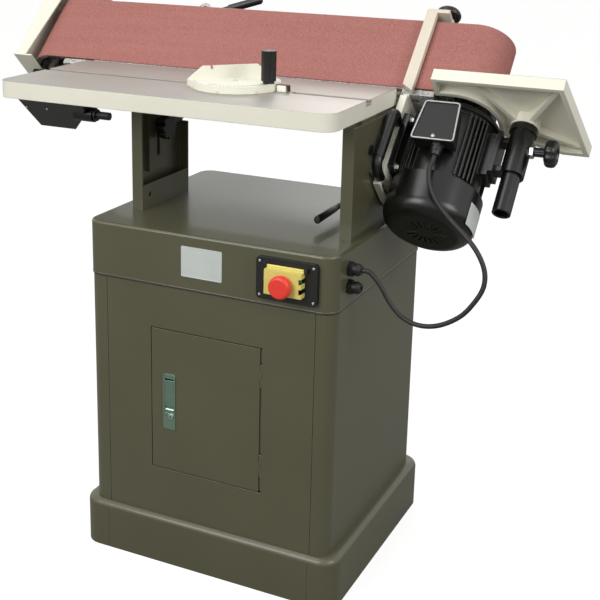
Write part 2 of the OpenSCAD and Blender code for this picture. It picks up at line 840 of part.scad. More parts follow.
module table_top() color(iron) {
    pocket_h = table_rim_h - table_plate_t;
    x_ribs = 4;
    cell = (table_l - table_rim_t) / x_ribs;
    rail_w = tee_w + 12;
    difference() {
        translate([0, 0, table_low]) linear_extrude(table_rim_h) table_outline();
        difference() {
            for (i = [0 : x_ribs - 1])
                box_between([table_x + table_rim_t + i * cell, table_y + table_corner_r / 2, table_low - 1],
                            [table_x + (i + 1) * cell, table_back - table_rim_t, table_low + pocket_h]);
            box_between([table_x, slot_y - rail_w / 2, table_z - slot_depth],
                        [table_right, slot_y + rail_w / 2, table_z]);
            for (x = [left_leg_x, right_leg_x + leg_t - leg_flange_l])
                box_between([x - 2, leg_y - leg_w / 2 - 4, table_low - 2],
                            [x + leg_flange_l + 2, leg_y + leg_w / 2 + 4, table_z]);
        }
        box_between([table_x - 1, slot_y - slot_w / 2, table_z - slot_neck - eps],
                    [table_right + 1, slot_y + slot_w / 2, table_z + 1]);
        box_between([table_x - 1, slot_y - tee_w / 2, table_z - slot_neck - tee_h],
                    [table_right + 1, slot_y + tee_w / 2, table_z - slot_neck]);
    }
}

// Slotted leg under the table beside a column's web, with a flange under the table
module table_leg(x, side) {
    flange_x = side > 0 ? x : x + leg_t - leg_flange_l;
    slot_half = clamp_d / 2 + run_gap;
    difference() {
        union() {
            box_between([x, leg_y - leg_w / 2, leg_low], [x + leg_t, leg_y + leg_w / 2, leg_top]);
            box_between([flange_x, leg_y - leg_w / 2, leg_top - leg_t],
                        [flange_x + leg_flange_l, leg_y + leg_w / 2, leg_top]);
        }
        box_between([x - 1, leg_y - slot_half, clamp_z - table_travel], [x + leg_t + 1, leg_y + slot_half, clamp_z]);
        for (z = [clamp_z - table_travel, clamp_z])
            translate([0, leg_y, z]) rod_x(x - 1, leg_t + 2, slot_half);
    }
}

module left_table_leg() color(olive) table_leg(left_leg_x, 1);

module right_table_leg() color(olive) table_leg(right_leg_x, -1);

// Clamp knob whose stud runs through a column and a leg; reach is from the web to the knob
module clamp_knob() {
    reach = column_t + leg_t + 3 * run_gap;
    head_t = 2;
    rod_x(-head_t, reach + head_t + 1, clamp_d / 2);
    rod_x(-head_t - run_gap, head_t, clamp_d * 0.9);
    rod_x(reach, 8, clamp_d);
    translate([reach + 7, 0, 0]) rotate([0, 90, 0]) lobed_knob(clamp_knob_d, 18, 8);
}

module left_clamp_knob() color(black) translate([left_web_x, leg_y, clamp_z]) clamp_knob();

module right_clamp_knob() color(black) translate([right_web_x, leg_y, clamp_z]) mirror([1, 0, 0]) clamp_knob();

module mitre_bar() color(steel) {
    x0 = gauge_x - bar_l * 0.46;
    side = run_gap;
    difference() {
        union() {
            translate([x0, slot_y - slot_w / 2 + side, table_z - slot_neck - 1])
                cube([bar_l, slot_w - 2 * side, slot_neck + 1 - run_gap]);
            translate([x0, slot_y - tee_w / 2 + side, table_z - slot_neck - tee_h + run_gap])
                cube([bar_l, tee_w - 2 * side, tee_h - 2 * run_gap]);
            translate([gauge_x, slot_y, table_z - slot_neck]) cylinder(h = slot_neck + gauge_t - 1, r = 6);
        }
        translate([gauge_x + handle_reach, slot_y, table_z - slot_neck - tee_h]) cylinder(h = 20, r = 4);
    }
}

module mitre_head() color(cream) {
    fence_set = 37;
    fence_t = 8;
    low = table_z + run_gap;
    translate([gauge_x, slot_y, low]) rotate([0, 0, gauge_turn])
        difference() {
            union() {
                linear_extrude(gauge_t)
                    intersection() {
                        union() {
                            circle(gauge_r);
                            translate([-gauge_r, 0]) square([2 * gauge_r, fence_set]);
                        }
                        translate([-gauge_r, -gauge_r]) square([2 * gauge_r, gauge_r + fence_set]);
                    }
                along_y(fence_set - fence_t, fence_t)
                    polygon([[-fence_l / 2, 0], [fence_l / 2, 0], [fence_l / 2, gauge_t],
                             [fence_l * 0.32, fence_h], [-fence_l * 0.32, fence_h], [-fence_l / 2, gauge_t]]);
            }
            translate([0, 0, -1]) cylinder(h = gauge_t + 2, r = 6 + fit_gap);
            translate([0, 0, -1]) arc_slot(handle_reach, 9, -gauge_turn - 108, -gauge_turn + 18, gauge_t + 2);
            translate([-fence_l * 0.24, fence_set - fence_t - 1, fence_h - 6]) cube([6, fence_t + 2, 7]);
        }
}

module mitre_handle() color(black) {
    foot = table_z + gauge_t + 2 * run_gap;
    translate([gauge_x + handle_reach, slot_y, 0]) {
        translate([0, 0, foot]) cylinder(h = 4, r = gauge_handle_d / 2 - 3);
        translate([0, 0, foot + 4 - eps])
            difference() {
                cylinder(h = 52, r = gauge_handle_d / 2);
                for (a = [0 : 45 : 315])
                    rotate([0, 0, a]) translate([gauge_handle_d / 2 + 1.5, 0, -1]) cylinder(h = 54, r = 2.5);
            }
        translate([0, 0, table_z - slot_neck - tee_h + 2 * run_gap]) cylinder(h = slot_neck + tee_h + gauge_t, r = 4 - fit_gap);
    }
}

// Room in the head's base for the pivot brackets through the whole tilt
module bracket_notches() {
    for (x = [left_bracket_x, right_bracket_x])
        box_between([x - 2, -belt_front - 1, base_low - 20],
                    [x + bracket_t + 2, bracket_eye_r + 10, bracket_eye_r + 2]);
}

barrel_places = [left_bracket_x + bracket_t + 20, right_bracket_x - 70];
barrel_l = 50;
stop_post_x = stop_x + 30;
stop_post_y = -2;
stop_bore_r = 5;
lever_x = -240;
lever_y = platen_back + wall_t + 6;
lever_z = wall_high + 10;

module head_base() color(iron) tilted() {
    ribs = 6;
    rib_t = 8;
    wall_x = platen_x;
    wall_l = platen_l + 20;
    difference() {
        union() {
            box_between([base_x, platen_front, base_low], [base_end, base_back, base_high]);
            box_between([wall_x, platen_back, base_high - eps], [wall_x + wall_l, platen_back + wall_t, wall_high]);
            for (i = [0 : ribs - 1])
                along_x(wall_x + 60 + i * (wall_l - 160) / (ribs - 1), rib_t)
                    polygon([[platen_back + wall_t - 1, base_high - 1], [base_back - 30, base_high - 1],
                             [platen_back + wall_t + 12, wall_high - 30], [platen_back + wall_t - 1, wall_high - 30]]);
            for (x = barrel_places) rod_x(x, barrel_l, barrel_r);
            translate([stop_post_x, stop_post_y, base_high - eps]) cylinder(h = hood_top - base_high, r = 9);
            translate([lever_x, 0, lever_z]) rod_y(platen_back, lever_y - platen_back - run_gap, 13);
            translate([lever_x - 13, platen_back, wall_high - 20])
                cube([26, lever_y - platen_back - run_gap, lever_z - wall_high + 20]);
        }
        bracket_notches();
        rod_x(left_bracket_x - 30, right_bracket_x - left_bracket_x + 70, tilt_shaft_d / 2 + fit_gap);
        translate([stop_post_x, stop_post_y, wall_high - 20]) cylinder(h = 60, r = stop_bore_r + fit_gap);
        translate([lever_x, 0, lever_z]) rod_y(platen_back - 1, 60, 6 + fit_gap);
    }
}

module platen() color(steel) tilted() {
    box_between([platen_x, platen_front, base_high], [platen_x + platen_l, platen_back, belt_high + 2]);
}

module belt_ring(r) {
    for (x = [idler_x, drive_x]) translate([x, drum_y]) circle(r, $fn = 96);
    translate([idler_x, drum_y - r]) square([drum_span, 2 * r]);
}

module sanding_belt() color(abrasive) tilted() {
    translate([0, 0, belt_low])
        difference() {
            linear_extrude(belt_w) belt_ring(belt_out_r);
            translate([0, 0, -1]) linear_extrude(belt_w + 2) belt_ring(belt_in_r);
        }
}

// Sheet hood round the idler end: end wall, front lip, floor, back with dust port, and top
module dust_hood() color(cream) tilted() {
    floor_l = 42;
    lip_flare = 11;
    back_l = 190;
    top_l = 150;
    difference() {
        union() {
            box_between([hood_x, hood_front, base_low], [hood_x + hood_t, hood_back, hood_top]);
            along_y(hood_front, hood_t)
                polygon([[hood_x, base_low], [hood_x + hood_lip - lip_flare, base_low],
                         [hood_x + hood_lip + lip_flare, hood_top], [hood_x, hood_top]]);
            box_between([hood_x - 2, hood_front - 4, base_low], [hood_x + floor_l, hood_back, base_low + hood_t]);
            box_between([hood_x, hood_back - hood_t, base_low], [hood_x + back_l, hood_back, hood_top]);
            box_between([hood_x, hood_front, hood_top - hood_t], [hood_x + top_l, hood_back, hood_top]);
            translate([dust_x, 0, dust_z]) rod_y(hood_back - eps, dust_l, dust_d / 2);
        }
        translate([dust_x, 0, dust_z]) rod_y(hood_back - hood_t - 1, dust_l + hood_t + 2, dust_d / 2 - hood_t);
        translate([idler_x, drum_y, hood_top - hood_t - 1]) cylinder(h = hood_t + 2, r = 12);
        translate([idler_x, drum_y - 12, hood_top - hood_t - 1]) cube([200, 24, hood_t + 2]);
    }
}

module rear_guard() color(cream) tilted() {
    x0 = hood_x + 190;
    box_between([x0, base_back, base_low], [drive_x - 10, base_back + hood_t, wall_high]);
}

tracking_x = -589;
tracking_low = -86;
tracking_front = 12;
tracking_back = 102;
tracking_knob_y = 52;
tracking_knob_z = -77;
tracking_end = -433;
tracking_lug_r = 15;
tracking_lug_end = tracking_end + 8;

// Housing under the hood for the idler's tracking screw
module tracking_box() color(black) tilted() {
    difference() {
        union() {
            translate([0, 0, tracking_low]) linear_extrude(base_low - tracking_low)
                polygon([[tracking_x, tracking_front], [tracking_end, tracking_front], [tracking_end, tracking_front + 14],
                         [tracking_end - 24, tracking_back - 40], [tracking_end - 60, tracking_back],
                         [tracking_x + 8, tracking_back]]);
            translate([0, tracking_knob_y, tracking_knob_z]) rod_x(tracking_end - 36, 44, tracking_lug_r);
        }
        translate([0, tracking_knob_y, tracking_knob_z]) rod_x(tracking_lug_end - 40, 41, 4 + fit_gap);
    }
}

module tracking_knob() color(black) tilted() {
    translate([0, tracking_knob_y, tracking_knob_z]) {
        rod_x(tracking_lug_end - 38, 40, 4);
        rod_x(tracking_lug_end + run_gap, 6, 12);
        rod_x(tracking_lug_end + run_gap + 5, 30, 8);
    }
}

module crowned_drum(x, bore_r) {
    rim_t = 8;
    hub_r = bore_r + 9;
    web_t = 8;
    translate([x, drum_y, drum_low])
        rotate_extrude()
            difference() {
                translate([bore_r, 0]) square([drum_r - bore_r, drum_len]);
                for (z = [-1, drum_len - 50])
                    translate([hub_r, z]) square([drum_r - rim_t - hub_r, 51]);
                translate([hub_r, 50 + web_t]) square([drum_r - rim_t - hub_r, drum_len - 100 - 2 * web_t]);
            }
}

module drive_drum() color(steel) tilted() crowned_drum(drive_x, shaft_r);

module motor_shaft() color(zinc) tilted() {
    translate([drive_x, drum_y, fan_cover_low + 14])
        cylinder(h = drum_low + drum_len - fan_cover_low - 14, r = shaft_r);
}

module cooling_fan() color(black) tilted() {
    blades = 6;
    blade_h = 34;
    disc_r = fan_cover_r - 24;
    translate([drive_x, drum_y, fan_cover_low + 22])
        difference() {
            union() {
                cylinder(h = blade_h, r = shaft_r + 8);
                cylinder(h = 3, r = disc_r);
                for (i = [0 : blades - 1])
                    rotate([0, 0, i * 360 / blades]) translate([shaft_r + 4, -1.5, 1])
                        cube([disc_r - shaft_r - 8, 3, blade_h - 3]);
            }
            translate([0, 0, -1]) cylinder(h = blade_h + 2, r = shaft_r);
        }
}

idler_shaft_r = 10;
bearing_r = 21;
bearing_t = 12;
carriage_x = idler_x + belt_in_r + 14;

// Yoke that holds the idler shaft above and below its drum and slides on the base
module idler_carriage() color(iron) tilted() {
    arm_w = 30;
    block_l = 60;
    low = base_high + run_gap;
    arm_low = drum_low - run_gap;
    top = drum_low + drum_len + 2;
    arm_t = 6;
    difference() {
        union() {
            box_between([carriage_x, drum_y - 24, low], [carriage_x + block_l, drum_y + 24, top + arm_t]);
            box_between([idler_x, drum_y - arm_w / 2, low], [carriage_x + 1, drum_y + arm_w / 2, arm_low]);
            box_between([idler_x, drum_y - arm_w / 2, top], [carriage_x + 1, drum_y + arm_w / 2, top + arm_t]);
            for (z = [low, top])
                translate([idler_x, drum_y, z]) cylinder(h = z == low ? arm_low - low : arm_t, r = arm_w / 2);
            translate([0, drum_y - 12, wall_high - 30]) rod_x(carriage_x + block_l - 1, 90, 6);
        }
        translate([idler_x, drum_y, 0]) cylinder(h = top + 20, r = idler_shaft_r);
    }
}

module idler_shaft() color("#77715F") tilted() {
    translate([idler_x, drum_y, base_high + run_gap]) cylinder(h = hood_top + run_gap - base_high, r = idler_shaft_r);
    translate([idler_x, drum_y, hood_top + run_gap])
        rotate_extrude() {
            square([27, 10]);
            square([22, 15]);
            translate([22, 10]) intersection() {
                circle(5);
                square([5, 5]);
            }
        }
}

module idler_drum() color(steel) tilted() difference() {
    crowned_drum(idler_x, idler_shaft_r + 1);
    for (z = [drum_low - 1, drum_low + drum_len - bearing_t])
        translate([idler_x, drum_y, z]) cylinder(h = bearing_t + 1, r = bearing_r - 4);
}

module idler_bearings() color(zinc) tilted() {
    for (z = [drum_low, drum_low + drum_len - bearing_t])
        translate([idler_x, drum_y, z])
            difference() {
                cylinder(h = bearing_t, r = bearing_r - 4);
                translate([0, 0, -1]) cylinder(h = bearing_t + 2, r = idler_shaft_r + fit_gap);
            }
}

module tension_lever() color(black) tilted() {
    arm_t = 9;
    rise = 24;
    arm_l = 52;
    grip_l = 70;
    translate([lever_x, 0, lever_z]) {
        rod_y(lever_y, arm_t, 13);
        rod_y(platen_back + 1, lever_y - platen_back, 6);
        rotate([0, -rise, 0]) {
            box_between([0, lever_y + 1, -5], [arm_l, lever_y + arm_t - 1, 5]);
            translate([0, lever_y + arm_t / 2, 0]) grip_x(arm_l - 6, grip_l, 8);
        }
    }
}

// Work stop: a flat arm across the belt, hung from a plate that turns on a post
module stop_arm() color(cream) tilted() {
    arm_y = -belt_front - 3 - stop_t;
    plate_z = hood_top + run_gap;
    plate_t = 8;
    difference() {
        union() {
            along_y(arm_y, stop_t)
                polygon([[stop_x, 6], [stop_x + stop_w, -6], [stop_x + stop_w, plate_z + plate_t],
                         [stop_x, plate_z + plate_t]]);
            box_between([stop_x, arm_y, plate_z], [stop_post_x, stop_post_y + 14, plate_z + plate_t]);
            translate([stop_post_x, stop_post_y, plate_z]) cylinder(h = plate_t, r = 14);
            box_between([stop_post_x - 1, arm_y, plate_z], [stop_post_x + 12, stop_post_y, plate_z + plate_t]);
        }
        translate([stop_post_x, stop_post_y, plate_z - 1]) cylinder(h = plate_t + 2, r = stop_bore_r + fit_gap);
    }
}

module stop_knob() color(black) tilted() {
    foot = hood_top + 8 + 2 * run_gap;
    translate([stop_post_x, stop_post_y, 0]) {
        translate([0, 0, wall_high - 10]) cylinder(h = foot - wall_high + 12, r = stop_bore_r);
        translate([0, 0, foot])
            rotate_extrude() {
                square([11, 26]);
                translate([0, 6]) square([18, 14]);
                intersection() {
                    translate([14, 13]) circle(9);
                    square([30, 30]);
                }
            }
    }
}

// Quadrant plate on the head: carries the motor, and its slot takes the tilt lock's stud
module motor_plate() color(cream) tilted() {
    top = base_low;
    heel = 18;
    first = -91.5;
    last = 1.5;
    difference() {
        along_x(plate_x, plate_t)
            intersection() {
                circle(plate_r, $fn = 128);
                union() {
                    translate([-belt_front + 1, -plate_low]) square([plate_r * 2, plate_low + top]);
                    translate([base_back + hood_t + 3, -plate_low]) square([plate_r, plate_low + heel]);
                }
            }
        translate([plate_x - 1, 0, 0]) rotate([90, 0, 90])
            arc_slot(tilt_slot_r, lock_d + 2 * run_gap, first, last, plate_t + 2);
        translate([plate_x + plate_t - lock_slot_depth, 0, 0]) rotate([90, 0, 90])
            arc_slot(tilt_slot_r, 2 * lock_head_r + 2 * run_gap, first, last, lock_slot_depth + 1);
        for (y = [-1, 1], z = foot_bolt_z)
            translate([0, drum_y + y * foot_bolt_y, z]) rod_x(plate_x - 1, plate_t + 2, foot_bolt_r);
    }
}

foot_bolt_y = 42;
foot_t = 11;
foot_bolt_r = 5;
foot_bolt_z = [body_top - 18, body_low + 18];

// Angle between two directions, from 0 to 180
function apart(a, b) = abs((a - b + 540) % 360 - 180);

// Finned barrel with a foot on its left for the motor plate and a pad on its right for the post;
// the fins leave room for the foot, the pad and the terminal box in front
module motor_body() color(black) tilted() {
    fins = 56;
    fin_t = 2.6;
    ring_h = 6;
    foot_x = plate_x + plate_t;
    pad_x = post_x - post_tube_d / 2 - 16;
    angles = [for (i = [0 : fins - 1]) i * 360 / fins];
    bare = [[180, 34], [0, 26], [270, 30]];
    finned = [for (a = angles) if (min([for (b = bare) apart(a, b[0]) - b[1]]) > 0) a];
    translate([0, 0, body_low])
        difference() {
            union() {
                translate([drive_x, drum_y, 0]) {
                    for (z = [0, motor_l - ring_h])
                        translate([0, 0, z]) cylinder(h = ring_h, r = core_r + 3);
                    translate([0, 0, ring_h]) linear_extrude(motor_l - 2 * ring_h) {
                        circle(core_r);
                        for (a = finned)
                            rotate([0, 0, a]) translate([core_r - 3, -fin_t / 2]) square([fin_h + 3, fin_t]);
                    }
                }
                box_between([foot_x, drum_y - foot_bolt_y - 14, 12],
                            [foot_x + foot_t, drum_y + foot_bolt_y + 14, motor_l - 12]);
                box_between([foot_x + foot_t - 1, drum_y - 27, 14],
                            [drive_x - core_r + 20, drum_y + 27, motor_l - 14]);
                box_between([drive_x + core_r - 12, drum_y - 22, motor_l - 96], [pad_x, drum_y + 22, motor_l - 14]);
            }
            translate([drive_x, drum_y, -1]) cylinder(h = motor_l + 2, r = shaft_r + 2);
            for (y = [-1, 1], z = foot_bolt_z)
                translate([0, drum_y + y * foot_bolt_y, z - body_low]) rod_x(foot_x - 1, foot_t + 2, foot_bolt_r);
        }
}

module motor_end_bell() color(black) tilted() {
    translate([drive_x, drum_y, body_top])
        rotate_extrude()
            difference() {
                union() {
                    square([motor_r - 1, bell_t * 0.5]);
                    square([motor_r - 8, bell_t * 0.8]);
                    square([core_r * 0.6, bell_t]);
                }
                translate([-1, -1]) square([shaft_r + fit_gap + 1, bell_t + 2]);
            }
}

// Deep cap over the fan, with a rolled lower edge and rings of air slots in its end
module fan_cover() color(black) tilted() {
    wall = 2.5;
    roll = 26;
    slots = 18;
    slot_w = 3;
    collar = 10;
    translate([drive_x, drum_y, fan_cover_low])
        difference() {
            rotate_extrude()
                difference() {
                    union() {
                        translate([0, roll]) square([fan_cover_r, fan_cover_l - roll]);
                        square([fan_cover_r - roll, fan_cover_l]);
                        translate([fan_cover_r - roll, roll]) circle(roll);
                    }
                    translate([0, roll]) square([fan_cover_r - wall, fan_cover_l]);
                    translate([0, wall]) square([fan_cover_r - roll, fan_cover_l]);
                    translate([fan_cover_r - roll, roll]) circle(roll - wall);
                    translate([-fan_cover_r, -1]) square([fan_cover_r, fan_cover_l + 2]);
                }
            for (i = [0 : slots - 1])
                rotate([0, 0, i * 360 / slots])
                    translate([fan_cover_r * 0.2, -slot_w / 2, -1]) cube([fan_cover_r * 0.26, slot_w, wall + 2]);
        }
    translate([drive_x, drum_y, body_low - collar])
        difference() {
            cylinder(h = collar, r = fan_cover_r - wall + eps);
            translate([0, 0, -1]) cylinder(h = collar + 2, r = shaft_r + 3);
            for (i = [0 : 7])
                rotate([0, 0, i * 45]) translate([core_r * 0.66, 0, -1]) cylinder(h = collar + 2, r = 12);
        }
}

// Terminal box in front of the motor: it widens downwards and has a thin overhanging lid
module terminal_box() color(black) tilted() {
    lid_t = 4;
    back = drum_y - core_r + 14;
    difference() {
        union() {
            along_y(term_front, back - term_front)
                polygon([[term_mid_x - term_w / 2 + 3, term_top - 3], [term_mid_x + term_w / 2 - 3, term_top - 3],
                         [term_mid_x + term_low_w / 2 - 3, term_top - term_h + 3],
                         [term_mid_x - term_low_w / 2 + 3, term_top - term_h + 3]]);
            along_y(term_front - lid_t, lid_t + eps)
                polygon([[term_mid_x - term_w / 2, term_top], [term_mid_x + term_w / 2, term_top],
                         [term_mid_x + term_low_w / 2, term_top - term_h],
                         [term_mid_x - term_low_w / 2, term_top - term_h]]);
        }
        translate([drive_x, drum_y, body_low - 1]) cylinder(h = motor_l + 2, r = motor_r + run_gap);
    }
}

term_gland_top = term_top - term_h + 3;

module terminal_gland() color(black) tilted() {
    translate([term_gland_x, term_gland_y, term_gland_top - term_gland_l])
        difference() {
            union() {
                cylinder(h = 7, r1 = 7, r2 = 9);
                translate([0, 0, 7 - eps]) cylinder(h = 9, r = 10);
                translate([0, 0, 16 - eps]) cylinder(h = 8 + eps, r = 11.5, $fn = 6);
            }
            translate([0, 0, -1]) cylinder(h = 13, r = cable_r + fit_gap);
        }
}

// Bow handle on the front edge of the motor plate
module tilt_handle() color(black) tilted() {
    r = tilt_handle_d / 2;
    bend = 16;
    stand = 38;
    front = -belt_front + 1;
    top = base_low - 62;
    low = top - tilt_handle_l;
    translate([tilt_handle_x, front, 0]) {
        for (z = [low, top]) translate([0, 0, z]) rod_y(-stand + bend, stand - bend, r * 0.8);
        translate([0, -stand, low + bend]) cylinder(h = tilt_handle_l - 2 * bend, r = r);
        for (s = [0, 1])
            translate([0, -stand + bend, s == 0 ? low + bend : top - bend]) rotate([90, 0, 90])
                rotate([0, 0, s == 0 ? 180 : 90])
                    rotate_extrude(angle = 90) translate([bend, 0]) circle(r * 0.9);
    }
}

module post_bracket() color(black) tilted() {
    pad_x = post_x - post_tube_d / 2 - 16;
    difference() {
        union() {
            translate([post_x, drum_y, post_tube_low]) cylinder(h = post_tube_l, r = post_tube_d / 2);
            translate([post_x, drum_y, post_tube_top - 12]) cylinder(h = 12, r = post_tube_d / 2 + 3);
            box_between([pad_x, drum_y - 22, body_top - 88], [pad_x + 8, drum_y + 22, body_top - 6]);
            for (z = [body_top - 80, body_top - 22])
                box_between([pad_x, drum_y - 12, z], [post_x - post_tube_d / 2 + 6, drum_y + 12, z + 10]);
            translate([0, drum_y, post_knob_z]) rod_x(post_x, post_tube_d / 2 + 6, 10);
        }
        translate([post_x, drum_y, post_low]) cylinder(h = 400, r = post_d / 2 + fit_gap);
        translate([0, drum_y, post_knob_z]) rod_x(post_x, post_tube_d, 5 + fit_gap);
    }
}

module post_lock_knob() color(black) tilted() {
    face = post_x + post_tube_d / 2 + 6;
    start = post_x + post_d / 2 + 2 * fit_gap;
    translate([0, drum_y, post_knob_z]) {
        rod_x(start, face + 20 - start, 5);
        rod_x(face + run_gap, 20, 8);
        translate([face + 19, 0, 0]) rotate([0, 90, 0]) lobed_knob(48, 20, 6);
    }
}

end_front = -75;
end_back = 116;
end_left = drive_x - 31;
end_right = drive_x + 194;
end_flare = 26;
end_heel = drive_x + 174;

// Room for the belt round the drive drum, and for all behind it
module end_cutter(r) {
    translate([drive_x, drum_y]) {
        circle(r);
        translate([-200, -r]) square([200, 300]);
        translate([-1, 0]) square([r + 1, 300]);
    }
}

module end_outline() {
    difference() {
        polygon([[end_left, end_front], [end_right, end_front], [end_right + end_flare, end_back], [end_heel, end_back],
                 [post_x - 34, drum_y + 40], [drive_x, drum_y], [end_left, drum_y]]);
        end_cutter(belt_out_r + end_gap);
    }
}

// The same outline drawn in by the rim's thickness
module end_inner() {
    t = end_rim_t;
    difference() {
        polygon([[end_left + t, end_front + t], [end_right - t, end_front + t],
                 [end_right + end_flare - t * 1.2, end_back - t], [end_heel + t * 0.4, end_back - t],
                 [post_x - 30 + t, drum_y + 34], [drive_x, drum_y - 6], [end_left + t, drum_y]]);
        end_cutter(belt_out_r + end_gap + t);
    }
}

// Rib from the post's boss to a corner, deep at the boss and shallow at the rim
module end_rib(to) {
    dx = to[0] - post_x;
    dy = to[1] - drum_y;
    reach = sqrt(dx * dx + dy * dy);
    from = post_d / 2 + 4;
    rib_low = post_tube_top + run_gap + 3;
    under = end_table_z - end_plate_t;
    translate([post_x, drum_y, 0]) rotate([0, 0, atan2(dy, dx)])
        along_y(-end_rim_t / 2, end_rim_t)
            polygon([[from, under + 1], [reach, under + 1], [reach, under - 6], [from, rib_low]]);
}

module end_table() color(cream) tilted() {
    boss_r = post_d / 2 + 9;
    boss_low = post_tube_top + run_gap;
    mid = end_rim_t / 2 + 1;
    corners = [[end_left + 60, end_front + mid], [end_right - mid, end_front + mid],
               [end_right + end_flare - mid - 2, end_back - mid]];
    difference() {
        union() {
            difference() {
                translate([0, 0, end_low]) linear_extrude(end_rim_h) end_outline();
                translate([0, 0, end_low - 1]) linear_extrude(end_rim_h - end_plate_t + 1) end_inner();
            }
            translate([post_x, drum_y, boss_low]) cylinder(h = end_table_z - 1 - boss_low, r = boss_r);
            for (to = corners) end_rib(to);
        }
        translate([post_x, drum_y, boss_low - 1]) cylinder(h = end_table_z - end_plate_t + 1 - boss_low, r = post_d / 2);
    }
}

module end_table_post() color(black) tilted() {
    difference() {
        translate([post_x, drum_y, post_low]) cylinder(h = end_table_z - end_plate_t - post_low, r = post_d / 2);
        translate([post_x, drum_y, post_low - 1]) cylinder(h = 40, r = post_d / 2 - 4);
    }
}

// Route of the motor lead, from the face of the box's gland to the face of the terminal gland
cable_start = [box_side + gland_len - 12, gland_y, gland_high];
cable_lead = [box_side + gland_len, gland_y, gland_high];
term_face = [term_gland_x, term_gland_y, term_gland_top - term_gland_l];
cable_route = concat(
    [cable_start, cable_lead, cable_lead + [6, 0, 0]],
    cable_hang,
    [for (z = [-10, 0, 12]) tilted_point(term_face + [0, 0, z])]
);

function clamped(i) = cable_route[min(max(i, 0), len(cable_route) - 1)];

// Point on a smooth curve through the route, t of the way from point i to the next
function curve_point(i, t) = 0.5 * (
    2 * clamped(i) + (clamped(i + 1) - clamped(i - 1)) * t
    + (2 * clamped(i - 1) - 5 * clamped(i) + 4 * clamped(i + 1) - clamped(i + 2)) * t * t
    + (3 * clamped(i) - clamped(i - 1) - 3 * clamped(i + 1) + clamped(i + 2)) * t * t * t
);

cable_points = [
    for (i = [0 : len(cable_route) - 2], s = [0 : cable_steps - 1]) curve_point(i, s / cable_steps),
    cable_route[len(cable_route) - 1]
];
cable_rings = len(cable_points);

function unit(v) = v / norm(v);

function cable_way(i) = i == 0 ? [1, 0, 0]
    : i == cable_rings - 1 ? unit(tilted_point([0, 0, 1]) - tilted_point([0, 0, 0]))
    : unit(cable_points[i + 1] - cable_points[i - 1]);

// Side vectors carried from ring to ring without twist
function cable_sides_from(i, side) = i >= cable_rings ? []
    : let (way = cable_way(i), flat = unit(side - (side * way) * way))
      concat([flat], cable_sides_from(i + 1, flat));

module motor_cable() color(black) {
    side = cable_sides_from(0, [0, 0, 1]);
    n = cable_sides;
    points = [
        for (i = [0 : cable_rings - 1], k = [0 : n - 1])
            let (a = k * 360 / n)
                cable_points[i] + cable_r * (cos(a) * side[i] + sin(a) * cross(cable_way(i), side[i]))
    ];
    last = (cable_rings - 1) * n;
    faces = concat(
        [[for (k = [0 : n - 1]) k]],
        [for (i = [0 : cable_rings - 2], k = [0 : n - 1])
            [i * n + k, (i + 1) * n + k, (i + 1) * n + (k + 1) % n]],
        [for (i = [0 : cable_rings - 2], k = [0 : n - 1])
            [i * n + k, (i + 1) * n + (k + 1) % n, i * n + (k + 1) % n]],
        [[for (k = [n - 1 : -1 : 0]) last + k]]
    );
    polyhedron(points, faces);
}

plinth();
cabinet_shell();
front_panel();
door_hinge_pins();
door();
latch_housing();
latch_paddle();
top_box();
switch_housing();
start_button();
switch_flap();
stop_button();
motor_lead_gland();
mains_gland();
left_column();
right_column();
left_pivot_bracket();
right_pivot_bracket();
tilt_shaft();
lock_bracket();
tilt_lock_stud();
tilt_lock_lever();
table_top();
left_table_leg();
right_table_leg();
left_clamp_knob();
right_clamp_knob();
mitre_bar();
mitre_head();
mitre_handle();
head_base();
platen();
sanding_belt();
dust_hood();
rear_guard();
tracking_box();
tracking_knob();
drive_drum();
motor_shaft();
cooling_fan();
idler_carriage();
idler_shaft();
idler_drum();
idler_bearings();
tension_lever();
stop_arm();
stop_knob();
motor_plate();
motor_body();
motor_end_bell();
fan_cover();
terminal_box();
terminal_gland();
tilt_handle();
post_bracket();
end_table();
end_table_post();
post_lock_knob();
motor_cable();
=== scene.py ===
# %% [markdown]
# # An edge sander in its working finish
# The real machine is a sheet-steel cabinet with a tilting sanding head on two columns. Its solids come
# from CAD as a fixed frame, in metres, so everything here is placed by the numbers of that frame and
# nothing is fitted by eye. We keep the solids whose shape is right, and add finishes and the small pieces
# that a CAD model leaves out.

# %% Load the frame
from math import atan2, cos, degrees, pi, radians, sin

import bmesh
import bpy
from mathutils import Euler, Matrix, Vector


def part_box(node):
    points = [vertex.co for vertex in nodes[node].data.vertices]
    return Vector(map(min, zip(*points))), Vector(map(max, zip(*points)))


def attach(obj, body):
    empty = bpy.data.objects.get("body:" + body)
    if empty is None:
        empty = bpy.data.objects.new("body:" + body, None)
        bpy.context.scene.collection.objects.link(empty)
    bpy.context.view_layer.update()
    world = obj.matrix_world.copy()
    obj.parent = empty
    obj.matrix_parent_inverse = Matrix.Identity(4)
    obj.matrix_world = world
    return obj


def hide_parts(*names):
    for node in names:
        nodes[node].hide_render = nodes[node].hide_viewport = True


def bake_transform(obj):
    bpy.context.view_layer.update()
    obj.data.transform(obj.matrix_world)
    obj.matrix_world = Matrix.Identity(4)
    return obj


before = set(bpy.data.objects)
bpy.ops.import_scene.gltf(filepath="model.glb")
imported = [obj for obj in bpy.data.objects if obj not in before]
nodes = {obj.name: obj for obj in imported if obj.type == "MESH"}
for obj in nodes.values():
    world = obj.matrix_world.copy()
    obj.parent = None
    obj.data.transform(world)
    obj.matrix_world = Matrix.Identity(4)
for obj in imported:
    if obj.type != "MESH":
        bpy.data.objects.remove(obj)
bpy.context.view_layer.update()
bpy.ops.object.select_all(action="DESELECT")

